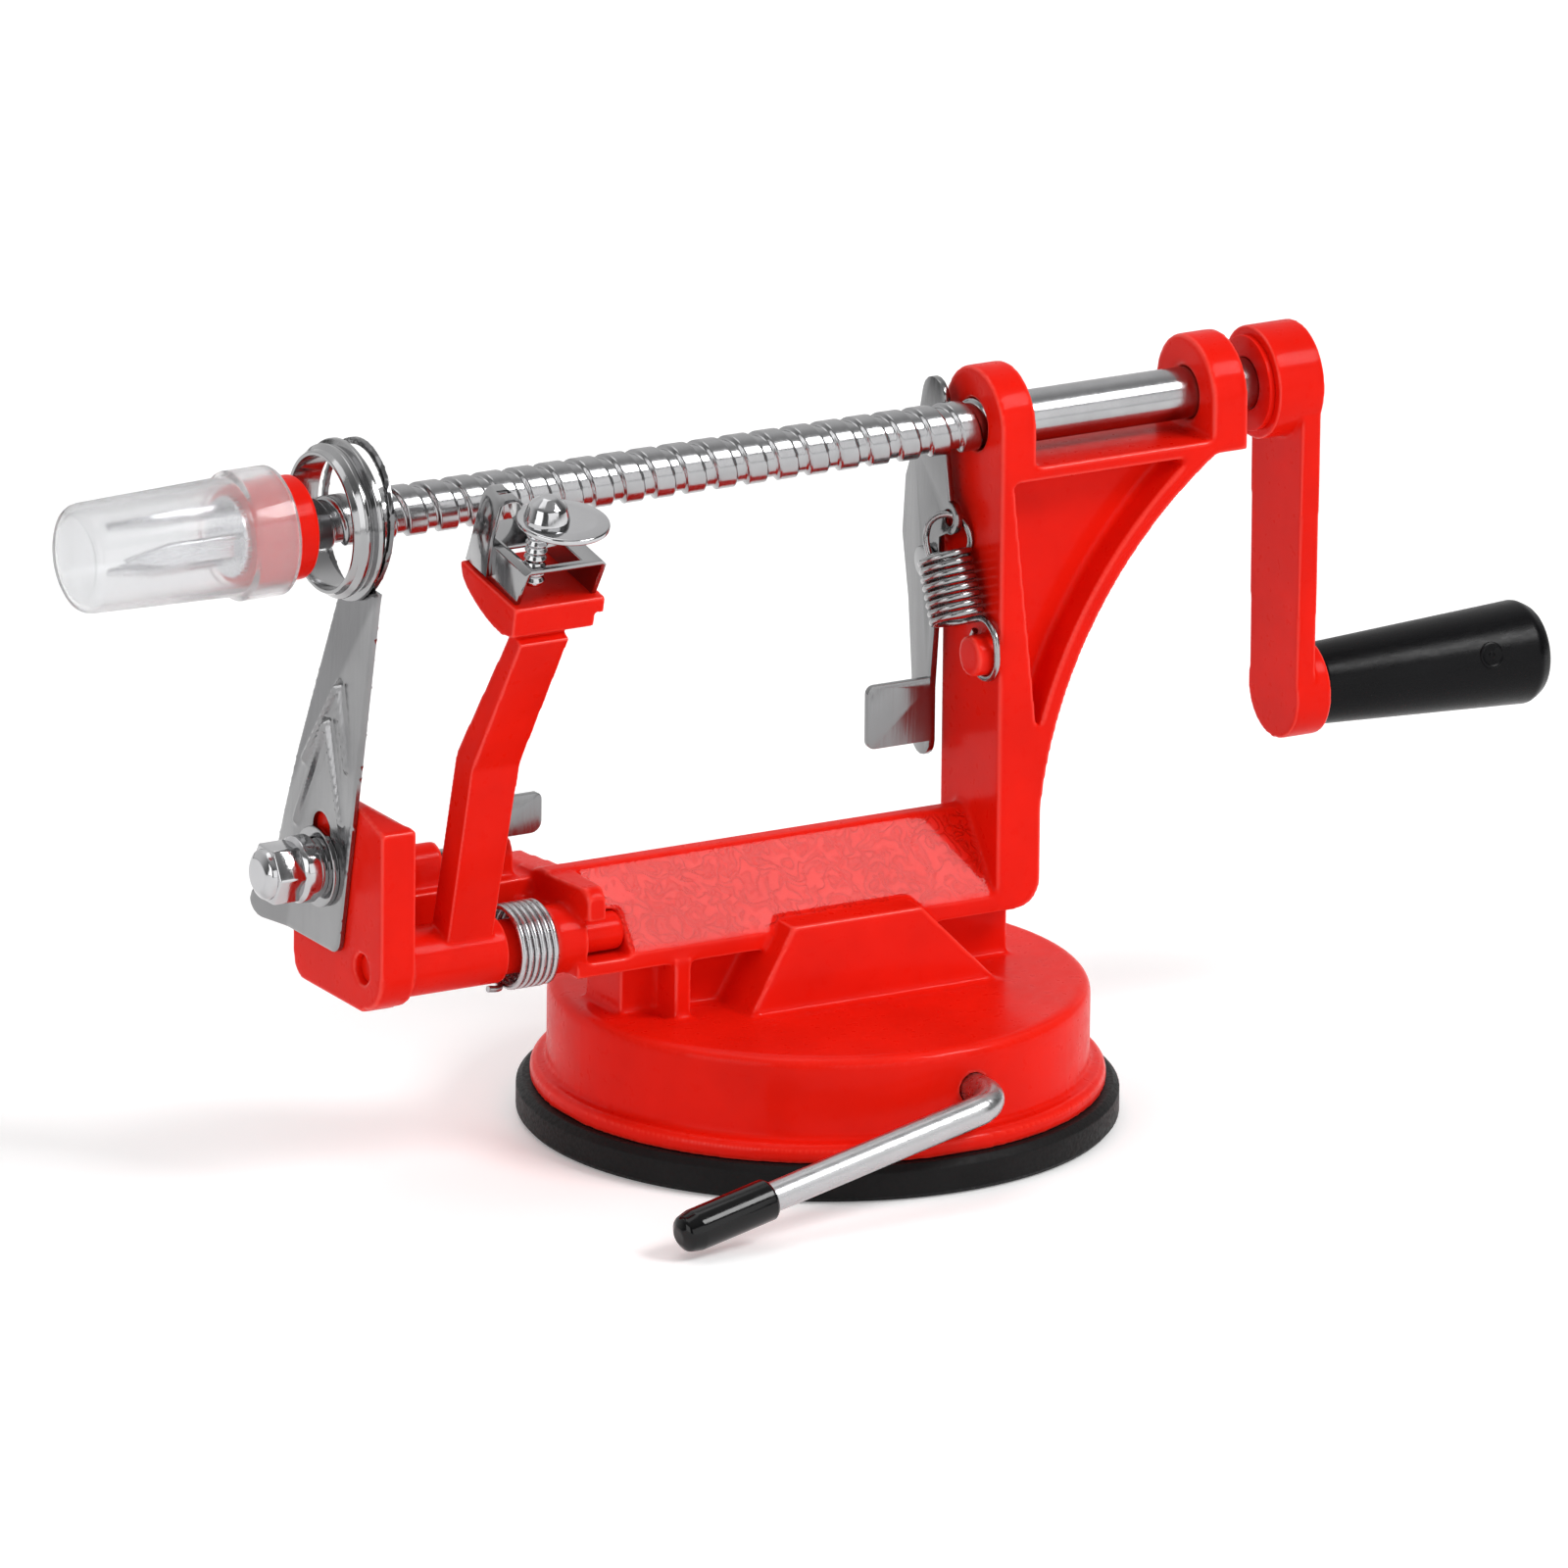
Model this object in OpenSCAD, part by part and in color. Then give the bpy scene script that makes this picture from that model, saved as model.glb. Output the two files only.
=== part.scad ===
// Hand-cranked apple peeler, corer and slicer on a suction base.
// Millimetres. X runs along the drive shaft towards the crank, -Y is the front, Z is up.
// The origin is the centre of the suction pad's flat underside.

/* [Suction base] */
// Width of the pad's rim beyond the foot flange
pad_out = 2.5; // [0.5:0.5:7]
// Height of the pad's thick rim
pad_h = 6.5; // [5:0.5:9]
// Thickness of the pad's flexible centre
pad_floor = 3; // [2:0.25:4]
// Bevel on the pad's upper outer edge
pad_bevel = 1.2; // [0.5:0.1:2]
// Diameter of the cup above its flange
cup_d = 99; // [92:1:101]
// Height of the cup above the pad
cup_h = 19; // [18.5:0.5:21]
// Wall of the cup
cup_wall = 3; // [2.5:0.25:4]
// Radius on the cup's upper edge
cup_round = 2; // [1:0.5:3]
// Width of the foot flange beyond the cup
flange_out = 3; // [2:0.25:3.5]
// Thickness of the foot flange
flange_t = 3.5; // [2:0.25:5]

/* [Suction lever] */
// Height of the lever's turning axis above the pad's rim
lever_rise = 10.9; // [10.6:0.1:11.4]
// Diameter of the lever rod
rod_d = 5.6; // [4.8:0.2:6]
// Length of the lever from its axis to the tip of its cap
lever_len = 72; // [60:1:73]
// Slope of the lever below level at rest, in degrees
lever_droop = 10.5; // [6:0.5:10.5]
// Turn of the rod's axis from the line square to the shaft, in degrees
rod_turn = 5.5; // [0:0.5:7]
// Bend radius of the rod
rod_bend = 6; // [4:0.5:8]
// Straight length of rod between the cup wall and the bend
rod_out = 2.5; // [1.5:0.5:6]
// Diameter of the dipped end cap
tip_d = 7.8; // [7:0.2:8.4]
// Length of the dipped end cap
tip_l = 20; // [15:1:26]
// Throw of the eccentric that lifts the stem
cam_throw = 1.5; // [1:0.1:1.6]
// Width of the lifting stem
stem_w = 16.6; // [16:0.2:20]
// Depth of the lifting stem
stem_depth = 10; // [8:0.5:12]
// Diameter of the stem's foot
stem_foot_d = 24; // [20:1:30]
// Thickness of the stem's foot and of the bridge over its eye
stem_t = 2; // [1.5:0.25:2.5]

/* [Frame casting] */
// Height of the pedestal between cup and beam
pedestal_h = 10.5; // [9:0.5:12]
// Distance from the base's centre to the left end of the frame
frame_left = 97.5; // [94:0.5:102]
// Distance from the base's centre to the left face of the column
column_x = 31; // [28:0.5:34]
// Thickness of the column at its foot
column_foot_t = 9.2; // [8.8:0.1:10]
// Thickness of the bearing ears
ear_t = 7.4; // [6:0.2:9]
// Width of the column and of the bearing ears
ear_w = 21.6; // [20:0.2:24]
// Distance between the outer faces of the two bearing ears
ear_span = 51.6; // [46:0.2:56]
// Height of the shaft axis above the beam
shaft_clear = 72.5; // [68:0.5:80]
// Gap under the shaft above the shelf between the ears
shelf_gap = 6.5; // [6:0.25:8]
// Thickness of the shelf
shelf_t = 2.6; // [2:0.2:4]
// Radius of the bracket's concave edge
bracket_r = 89; // [86:0.5:92]
// Thickness of the bracket's curved flange
bracket_flange_t = 3.5; // [2.5:0.25:5]
// Thickness of the bracket's web
web_t = 8; // [6:0.5:10]
// Height of the beam's lower rim
beam_rim = 3; // [2:0.25:4]
// Height of the beam's sloping front
beam_slope_h = 14.5; // [12:0.5:17]
// Width of the beam's flat top
beam_top_w = 3.2; // [2.5:0.1:4.5]
// Distance from the shaft plane to the beam's lower front edge
beam_front = 10.5; // [9:0.5:12]
// Distance from the shaft plane to the beam's back
beam_back = 5.9; // [5.5:0.1:7]
// Left end of the beam, measured from the base's centre
beam_left = 57; // [55:0.5:59]
// Thickness of the left end block
block_t = 7.2; // [6:0.2:9]
// Height of the left end block above the pivot axis
block_h = 30; // [27:0.5:33]

/* [Drive shaft] */
// Diameter of the drive shaft
shaft_d = 9.6; // [8.8:0.1:10]
// Pitch of the feed thread
pitch = 6.35; // [6.35, 6.6, 6.8]
// Depth of the feed groove
groove_depth = 0.75; // [0.6:0.05:0.9]
// Width of the feed groove along the shaft
groove_w = 2.9; // [2.8:0.05:3.2]
// Length of the thread that lies inside the left ear
thread_in = 2; // [1:0.25:4]
// Length of the groove's sloping flanks along the shaft
flank = 0.35; // [0.2:0.05:0.5]

/* [Fork and cap] */
// Length of the red collar on the shaft
collar_l = 13; // [11:0.2:13.4]
// Diameter of the collar
collar_d = 19; // [17:0.2:19.4]
// Stretch of shaft between the collar and the coring ring
collar_gap = 4.9; // [3:0.1:7]
// Length of the clear cap
cap_l = 40; // [36:1:48]
// Length of the collar inside the cap
cap_overlap = 8; // [6:0.2:8.4]
// Outside diameter of the cap's band
cap_band_d = 23.6; // [23:0.1:23.7]
// Length of the cap's band
cap_band_l = 8.7; // [6:0.1:9.5]
// Wall of the cap
cap_wall = 1.2; // [0.8:0.1:1.5]
// Narrowing of the cap's radius towards its closed end
cap_taper = 0.9; // [0.4:0.1:1.5]
// Length of the fork's prongs
prong_l = 23; // [18:0.5:25]
// Width of a prong
prong_w = 4; // [3:0.2:5]
// Thickness of a prong
prong_t = 1.6; // [1:0.1:2.2]

/* [Crank] */
// Distance between the shaft axis and the grip axis
crank_throw = 59.5; // [50:0.5:62]
// Diameter of the crank's hub
hub_d = 21; // [19:0.5:23]
// Length of the crank's hub
hub_l = 9.6; // [8:0.2:12]
// Width of the crank's arm
arm_w = 19; // [15:0.5:21]
// Thickness of the crank's arm
arm_t = 4; // [3.5:0.25:6]
// Diameter of the boss that holds the grip
grip_boss_d = 18; // [15:0.5:19]
// Length of the boss that holds the grip
grip_boss_l = 7.4; // [6.6:0.2:9]
// Thickness of the thrust washer beside the hub
washer_t = 1.2; // [0.8:0.1:2]
// Room between the right ear and the thrust washer
hub_gap = 5.5; // [3:0.25:7]
// Length of the grip
grip_l = 47.8; // [42:0.2:54]
// Diameter of the grip beside the boss
grip_d = 15; // [13:0.5:17]
// Diameter of the grip at its end
grip_end_d = 19.4; // [17:0.2:22]
// Diameter of the spindle inside the grip
spindle_d = 6; // [5:0.25:8]

/* [Feed lever] */
// Thickness of the feed lever's plate
plate_t = 1.2; // [1:0.05:1.3]
// Room between the feed lever and the column
plate_gap = 2.3; // [1.8:0.1:3]
// Depth by which the lever's edge reaches into the groove
bite = 0.45; // [0.3:0.05:0.5]
// Distance of the lever's pivot behind the shaft plane
feed_pivot_y = 9.5; // [9:0.25:10]
// Distance of the lever's pivot below the shaft axis
feed_pivot_drop = 28; // [27:0.5:29]
// Diameter of the lever's pivot
feed_pin_d = 4.2; // [3.6:0.1:4.6]
// Length of the bent finger tab
tab_l = 13; // [9:0.5:15]
// Height of the bent finger tab
tab_h = 12; // [9:0.5:14]

/* [Springs] */
// Wire of the feed lever's spring
feed_wire = 0.95; // [0.8:0.05:1]
// Mean radius of the feed lever's spring
feed_coil_r = 4.6; // [4.3:0.05:4.7]
// Coils of the feed lever's spring
feed_coils = 7; // [5:1:7]
// Wire of the peeling arm's torsion spring
twist_wire = 0.82; // [0.6:0.02:0.84]
// Mean radius of the torsion spring
twist_coil_r = 7.4; // [6.8:0.1:8]
// Coils of the torsion spring
twist_coils = 6; // [3:1:6]

/* [Slicer] */
// Thickness of the slicer plate
slicer_t = 1.2; // [1:0.1:1.5]
// Width of the slicer plate at its foot
slicer_foot_w = 29.8; // [28:0.2:32]
// Inner diameter of the coring ring
ring_bore = 24.4; // [24.2:0.1:26]
// Wall of the coring ring
ring_wall = 1; // [0.8:0.1:1.4]
// Length of the coring ring in front of the plate
ring_l = 5; // [4:0.25:7]
// Thread diameter of the slicer's bolt
bolt_d = 6; // [5:0.25:6.5]
// Distance of the bolt behind the shaft plane
bolt_y = 8.5; // [7.5:0.25:10]
// Distance of the bolt above the pivot axis
bolt_rise = 16; // [14:0.5:18]
// Length of the plate's slot
slot_l = 16; // [12:0.5:17]

/* [Peeling arm] */
// Distance of the arm's pivot in front of the shaft plane
pivot_front = 5; // [4.5:0.1:5.4]
// Height of the arm's pivot above the beam's underside
pivot_rise = 6.5; // [6:0.25:7.5]
// Diameter of the arm's pivot pin
pivot_d = 7; // [6:0.2:7.4]
// Diameter of the pin's thin left journal
journal_d = 5.4; // [4.6:0.2:5.6]
// Diameter of the arm's barrel
barrel_d = 12.5; // [11.5:0.25:13]
// Width of the arm along the shaft
peel_arm_w = 9.2; // [8:0.2:11]
// Thickness of the arm
peel_arm_t = 6.4; // [5:0.2:8]
// Thickness of the arm under its head
neck_t = 4.2; // [3.6:0.1:5]
// Distance of the head's centre in front of the shaft plane
head_front = 24.5; // [24:0.5:28]
// Distance of the head's top below the shaft axis
head_drop = 8; // [7:0.5:10]
// Forward tilt of the head, in degrees
head_tilt = 11; // [4:1:14]
// Width of the head along the shaft
head_w = 18.5; // [17.5:0.5:21]
// Length of the head
head_l = 21; // [20:0.5:24]
// Width of the blade bracket
bracket_box_w = 16.5; // [15:0.25:17]
// Height of the blade bracket
bracket_box_h = 8; // [6:0.25:9]
// Sheet thickness of the blade bracket
bracket_box_t = 1; // [0.8:0.1:1.4]
// Height of the peeling blade above the bracket
blade_h = 8; // [7:0.5:10]
// Depth of the peeling blade's strip
blade_depth = 6.3; // [5:0.1:7]
// Thickness of the peeling blade's strip
blade_t = 0.8; // [0.6:0.05:1]
// Thread diameter of the thumb screw
thumb_d = 4; // [3.5:0.25:4.5]
// Diameter of the thumb screw's disc head
thumb_head_d = 17; // [14:0.5:18]

/* [Arm latch] */
// Thickness of the latch plate
latch_t = 1.4; // [1:0.1:1.8]
// Diameter of the latch's pin
latch_pin_d = 4; // [3.2:0.2:5]
// Distance of the latch's pin behind the shaft plane
latch_y = 10; // [9.5:0.25:11]
// Distance of the latch's pin above the pivot axis
latch_rise = 13; // [12.5:0.25:14]
// Height of the latch above its pin
latch_h = 12.3; // [10.5:0.1:14]

/* [Fits] */
// Radial clearance of a turning or sliding fit
run = 0.06; // [0.03:0.01:0.1]
// Radial clearance of a fixed fit
snug = 0.02; // [0:0.01:0.04]
// Gap between faces that pass each other
side_gap = 0.3; // [0.2:0.05:0.5]

/* [Hidden] */
$fn = 64;
paint_red = [0.85, 0.08, 0.04];
steel = [0.75, 0.76, 0.78];
black = [0.06, 0.06, 0.06];

// Heights
cup_top = pad_h + cup_h;
lever_z = pad_h + lever_rise;
beam_z = cup_top + pedestal_h;
beam_top = beam_z + beam_rim + beam_slope_h;
axis_z = beam_top + shaft_clear;
pivot_z = beam_z + pivot_rise;
pivot_y = -pivot_front;
block_top = pivot_z + block_h;
latch_z = pivot_z + latch_rise;
bolt_z = pivot_z + bolt_rise;
feed_pivot_z = axis_z - feed_pivot_drop;
shelf_z = axis_z - shelf_gap;

// Places along the shaft
block_right = -frame_left + block_t;
right_ear_x = column_x + ear_span - ear_t;
plate_right = column_x - plate_gap;
plate_mid = plate_right - plate_t / 2;
washer_x = column_x + ear_span + hub_gap;
hub_x = washer_x + washer_t;
arm_x = hub_x + hub_l - arm_t;
grip_x = arm_x + grip_boss_l;
plate_left = -frame_left - slicer_t;
ring_x = plate_left - ring_l;
collar_right = ring_x - collar_gap;
collar_left = collar_right - collar_l;
cap_right = collar_right - (collar_l - cap_overlap);
cap_left = cap_right - cap_l;
thread_x = collar_right + 0.5;
lug_t = 6;
lug_x = -beam_left;
lug_boss_x = lug_x - 3.5;
lug_boss_l = 6.6;
barrel_left = block_right + side_gap;
twist_room = 9.9;
barrel_right = lug_boss_x - twist_room;

// Radii
shaft_r = shaft_d / 2;
crest_r = shaft_r - 0.05;
root_r = crest_r - groove_depth;
bore_r = shaft_r + run;
cup_in_r = cup_d / 2 - cup_wall;
flange_d = cup_d + 2 * flange_out;
pad_d = flange_d + 2 * pad_out;
rod_r = rod_d / 2;
cam_r = rod_r + cam_throw;
cam_play = 0.45;
eye_play = 0.25;
lift = 2 * cam_throw;
eye_z0 = lever_z - cam_throw - cam_r - cam_play;
eye_z1 = lever_z - cam_throw + cam_r + cam_play;
stem_top = eye_z1 + stem_t;
beam_top_y = beam_back - 2 - beam_top_w;

// Helpers

// A flat outline in the YZ plane, pushed along X from x0
module along_x(x0, len) {
  translate([x0, 0, 0]) rotate([90, 0, 90]) linear_extrude(len) children();
}

// A flat outline in the XZ plane, pushed along Y from y0
module along_y(y0, len) {
  translate([0, y0 + len, 0]) rotate([90, 0, 0]) linear_extrude(len) children();
}

// A round bar along X
module rod_x(d, x0, x1, y, z) {
  translate([x0, y, z]) rotate([0, 90, 0]) cylinder(d = d, h = x1 - x0);
}

// A turned profile of [radius, x] points about an axis along X
module turned_x(y, z) {
  translate([0, y, z]) rotate([0, 90, 0]) rotate_extrude() children();
}

// A box from one corner to the other
module block(a, b) {
  translate(a) cube(b - a);
}

// Points on an arc
function arc(c, r, a0, a1, n) =
  [for (i = [0:n]) c + r * [cos(a0 + (a1 - a0) * i / n), sin(a0 + (a1 - a0) * i / n)]];

function unit(v) = v / norm(v);

// Wire: one unbroken tube of 6 sides along a list of points
wire_sides = 6;
function tangents(p) = [for (i = [0:len(p) - 1]) unit(p[min(i + 1, len(p) - 1)] - p[max(i - 1, 0)])];
function side_vectors(t, v, i) =
  i == len(t) ? [] : let (w = unit(v - (v * t[i]) * t[i])) concat([w], side_vectors(t, w, i + 1));
function tube_points(p, r, first_side) =
  let (t = tangents(p), s = side_vectors(t, first_side, 0))
  [for (i = [0:len(p) - 1]) for (k = [0:wire_sides - 1])
    let (a = 360 * k / wire_sides) p[i] + r * (cos(a) * s[i] + sin(a) * cross(t[i], s[i]))];
function tube_faces(n) = concat(
  [for (k = [1:wire_sides - 2]) [0, k, k + 1]],
  [for (i = [0:n - 2]) for (k = [0:wire_sides - 1])
    [i * wire_sides + k, (i + 1) * wire_sides + k, i * wire_sides + (k + 1) % wire_sides]],
  [for (i = [0:n - 2]) for (k = [0:wire_sides - 1])
    [(i + 1) * wire_sides + k, (i + 1) * wire_sides + (k + 1) % wire_sides,
     i * wire_sides + (k + 1) % wire_sides]],
  [for (k = [1:wire_sides - 2])
    [(n - 1) * wire_sides, (n - 1) * wire_sides + k + 1, (n - 1) * wire_sides + k]]
);
module wire(p, d, first_side) {
  polyhedron(tube_points(p, d / 2, first_side), tube_faces(len(p)));
}

// Least gap of a wire to itself, between points at least half a coil apart
function self_gap(p, d, skip) =
  min([for (i = [0:len(p) - 1 - skip]) for (j = [i + skip:len(p) - 1]) norm(p[i] - p[j])]) - d;

// Suction base

module cup_outline() {
  polygon(concat(
    [[0, pad_h], [flange_d / 2, pad_h], [flange_d / 2, pad_h + flange_t - 1],
     [flange_d / 2 - 1, pad_h + flange_t], [cup_d / 2, pad_h + flange_t]],
    arc([cup_d / 2 - cup_round, cup_top - cup_round], cup_round, 0, 90, 6),
    [[0, cup_top]]
  ));
}

module suction_pad() {
  color(black) rotate_extrude() polygon([
    [0, 0], [pad_d / 2, 0], [pad_d / 2, pad_h - pad_bevel], [pad_d / 2 - pad_bevel, pad_h],
    [cup_in_r, pad_h], [cup_in_r - 2, pad_floor], [0, pad_floor]
  ]);
}

module suction_stem() {
  eye_w = 2 * (cam_r + cam_throw + eye_play);
  color(black) rotate([0, 0, rod_turn]) difference() {
    union() {
      translate([0, 0, pad_floor]) cylinder(d = stem_foot_d, h = stem_t);
      block([-stem_w / 2, -stem_depth / 2, pad_floor], [stem_w / 2, stem_depth / 2, stem_top]);
    }
    block([-eye_w / 2, -stem_depth, eye_z0], [eye_w / 2, stem_depth, eye_z1]);
  }
}

// The lever's own frame: turning axis along Y, handle along -X
module lever_frame() {
  rotate([0, 0, rod_turn]) translate([0, 0, lever_z]) rotate([0, -lever_droop, 0]) children();
}

rod_back = stem_depth / 2 + 11.5;
rod_bend_y = -cup_d / 2 - rod_out;
tip_wall = 2;
tip_round = 3;
tip_bevel = 1;
rod_tip = lever_len - tip_wall;
clip_t = 1;
clip_w = 2.2;
clip_mouth = 0.7;

module suction_lever() {
  color(steel) {
    lever_frame() {
      translate([0, rod_bend_y, 0]) rotate([-90, 0, 0]) cylinder(d = rod_d, h = rod_back - rod_bend_y);
      translate([-rod_bend, rod_bend_y, 0]) rotate([0, 0, -90])
        rotate_extrude(angle = 90) translate([rod_bend, 0]) circle(d = rod_d);
      translate([-rod_tip, rod_bend_y - rod_bend, 0]) rotate([0, 90, 0])
        cylinder(d = rod_d, h = rod_tip - rod_bend);
    }
    rotate([0, 0, rod_turn]) translate([0, -stem_depth / 2, lever_z - cam_throw]) rotate([-90, 0, 0])
      cylinder(r = cam_r, h = stem_depth);
  }
}

module lever_tip() {
  color(black) lever_frame() translate([0, rod_bend_y - rod_bend, 0]) turned_x(0, 0) polygon(concat(
    [[rod_r + snug, -lever_len + tip_l], [rod_r + snug, -rod_tip], [0, -rod_tip], [0, -lever_len]],
    arc([tip_d / 2 - tip_round, -lever_len + tip_round], tip_round, -90, 0, 6),
    [[tip_d / 2, -lever_len + tip_l - tip_bevel], [tip_d / 2 - tip_bevel, -lever_len + tip_l]]
  ));
}

module lever_clip() {
  color(steel) rotate([0, 0, rod_turn]) translate([0, rod_back - clip_w, lever_z]) rotate([-90, 0, 0])
    difference() {
      cylinder(r = rod_r + clip_w, h = clip_t);
      translate([0, 0, -1]) cylinder(r = rod_r + snug, h = 3 * clip_t);
      translate([0, -rod_d, 0]) cube([rod_d * clip_mouth, 2 * rod_d, 6 * clip_t], center = true);
    }
}

// Frame casting

module beam_outline() {
  polygon([
    [-beam_front, beam_z], [-beam_front, beam_z + beam_rim], [beam_top_y, beam_top],
    [beam_back - 2, beam_top], [beam_back, beam_top - 2], [beam_back, beam_z]
  ]);
}

buttress_top = beam_z + beam_rim + 2;
buttress_front = beam_front + 4.7;
buttress_foot = beam_front + 5.9;
buttress_foot_x = [-23.3, 28];
buttress_top_x = [-14, 13];
sink = 1;

// Trapezoid buttress in front of the pedestal, with a sloping face
module buttress() {
  intersection() {
    along_y(-buttress_foot, buttress_foot) polygon([
      [buttress_foot_x[0], cup_top - sink], [buttress_foot_x[0], cup_top], [buttress_top_x[0], buttress_top],
      [buttress_top_x[1], buttress_top], [buttress_foot_x[1], cup_top], [buttress_foot_x[1], cup_top - sink]
    ]);
    along_x(buttress_foot_x[0] - 1, buttress_foot_x[1] - buttress_foot_x[0] + 2) polygon([
      [0, cup_top - sink], [-buttress_foot, cup_top - sink], [-buttress_foot, cup_top],
      [-buttress_front, buttress_top], [0, buttress_top]
    ]);
  }
}

pedestal_left = -43.5;
pedestal_right = 37.2;
pedestal_front = 4;
pedestal_back = 9;
rib_x = -36;
rib_t = 3.4;

// Set-back pedestal with a rib under the beam's rim
module pedestal() {
  block([pedestal_left, -pedestal_front, cup_top - sink], [pedestal_right, pedestal_back, beam_z + sink]);
  block([rib_x, -beam_front - 0.6, cup_top - sink], [rib_x + rib_t, 0, beam_z + sink]);
  buttress();
}

foot_round = 5;
foot_rise = 24;
column_lip = 2.8;
bracket_in = 0.5;
bracket_rise = 9;

module column() {
  column_right = column_x + column_foot_t;
  along_y(-ear_w / 2, ear_w) polygon(concat(
    [[column_x, beam_z], [column_x, axis_z], [column_x + ear_t, axis_z],
     [column_x + ear_t, shelf_z - shelf_t], [column_x + column_lip, shelf_z - shelf_t],
     [column_right, beam_z + foot_rise]],
    arc([column_right - foot_round, beam_z + foot_round], foot_round, 0, -90, 5)
  ));
  rod_x(ear_w, column_x, column_x + ear_t, 0, axis_z);
  // Shelf and right ear
  block([column_x + 1, -ear_w / 2, shelf_z - shelf_t], [column_x + ear_span, ear_w / 2, shelf_z]);
  block([right_ear_x, -ear_w / 2, shelf_z - sink], [column_x + ear_span, ear_w / 2, axis_z]);
  rod_x(ear_w, right_ear_x, column_x + ear_span, 0, axis_z);
}

// Concave bracket under the shelf: thin web, curved flange as wide as the column
module bracket() {
  centre = [column_x + column_foot_t + bracket_r - bracket_in, beam_z + bracket_rise];
  reach = ear_span - ear_t / 2;
  along_y(-web_t / 2, web_t) bracket_outline(centre, bracket_r, reach);
  along_y(-ear_w / 2, ear_w) intersection() {
    bracket_outline(centre, bracket_r, reach);
    translate(centre) circle(r = bracket_r + bracket_flange_t, $fn = 256);
  }
}

module bracket_outline(centre, r, reach) {
  difference() {
    translate([column_x + 1, centre[1]]) square([reach, shelf_z - sink - centre[1]]);
    translate(centre) circle(r = r, $fn = 256);
  }
}

boss_r = 7.5;
block_drop = 0.8;
block_front = 12.5;
block_back = 21;
block_corner = 4;
ridge_t = 2.6;
ridge_h = 2.8;
ridge_run = 8.9;

// End block that carries the slicer and the left end of the arm's pivot, with a raised left edge
module left_end() {
  bottom = pivot_z - boss_r - block_drop;
  along_x(-frame_left, block_t) polygon(concat(
    [[-block_front, pivot_z], [-block_front, block_top - ridge_h],
     [block_back - block_corner, block_top - ridge_h], [block_back, bolt_z]],
    arc([block_back - block_corner, bottom + block_corner], block_corner, 0, -90, 5),
    [[pivot_y, bottom]]
  ));
  intersection() {
    along_x(-frame_left, block_t) polygon([
      [-block_front, block_top - ridge_h - 1], [-block_front, block_top - ridge_h],
      [ridge_run - block_front, block_top], [block_back - 2 * block_corner, block_top],
      [block_back - block_corner, block_top - ridge_h - 1]
    ]);
    translate([0, 0, block_top - 2 * ridge_h]) linear_extrude(3 * ridge_h) polygon([
      [-frame_left, -block_front], [block_right, -block_front], [ridge_t - frame_left, ridge_run - block_front],
      [ridge_t - frame_left, block_back], [-frame_left, block_back]
    ]);
  }
  rod_x(2 * boss_r, -frame_left, block_right, pivot_y, pivot_z);
  // Bar behind the peeling arm
  block([block_right - sink, bar_front, beam_z + 2], [lug_x + lug_t, bar_back, bar_top]);
}

bar_front = 4.5;
latch_eye_r = 3.7;
bar_top = min(beam_top - 2, latch_z - latch_eye_r - side_gap);
bar_back = 20;
lug_boss_d = 12.6;
lug_reach = 12;
lug_h = 6;
lug_bevel = 1.6;
lug_end_t = 3.7;

// Lug beside the beam, and the boss that carries the right end of the arm's pivot
module pivot_lug() {
  lug_top = beam_top - 0.5;
  intersection() {
    along_x(lug_x, lug_t) polygon([
      [bar_back, beam_z + 2], [bar_back, bar_top], [bar_front, lug_top],
      [lug_bevel - lug_reach, lug_top], [-lug_reach, lug_top - lug_bevel], [-lug_reach, lug_top - lug_h],
      [bar_front - 2, lug_top - lug_h], [bar_front - 2, beam_z]
    ]);
    translate([lug_x + lug_t, 0, beam_z]) linear_extrude(2 * beam_slope_h) polygon([
      [0, -lug_reach], [-lug_end_t, -lug_reach], [-lug_t, bar_front], [-lug_t, bar_back], [0, bar_back]
    ]);
  }
  rod_x(lug_boss_d, lug_boss_x, lug_boss_x + lug_boss_l, pivot_y, pivot_z);
  block([lug_boss_x, pivot_y, pivot_z - lug_boss_d / 2 + 1],
        [lug_boss_x + lug_boss_l, bar_front + 1, pivot_z + lug_boss_d / 2 - 1]);
  // Foot that runs from the lug under the beam
  block([lug_x + 1, bar_front - 4, beam_z], [pedestal_left + 1, bar_back - 6, beam_z + lug_h]);
}

latch_lug_r = 3.6;
latch_lug_t = 6;
latch_left_l = 10;
latch_left_x = block_right + 6.2;
latch_right_x = lug_x - 9;

// Two round lugs on the bar for the latch's pin
module latch_lugs() {
  for (q = [[latch_left_x, latch_left_l], [latch_right_x, latch_lug_t]]) {
    rod_x(2 * latch_lug_r, q[0], q[0] + q[1], latch_y, latch_z);
    block([q[0], latch_y - latch_lug_r, bar_top - 2], [q[0] + q[1], latch_y + latch_lug_r, latch_z]);
  }
}

post_y = -7.2;
post_z = axis_z - 41.5;
post_d = 7.6;
post_l = 4.6;
feed_boss_d = 9;
thin_gap = 0.05;

// Spring post and pivot boss on the column's left face
module column_bosses() {
  rod_x(post_d, column_x - post_l, column_x + 1, post_y, post_z);
  rod_x(feed_boss_d, plate_right + thin_gap, column_x + 1, feed_pivot_y, feed_pivot_z);
}

rod_rib_t = 4;
rod_rib_w = 14;
rod_rib_h = 3;
rod_rib_y = stem_depth / 2 + 5;

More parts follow.
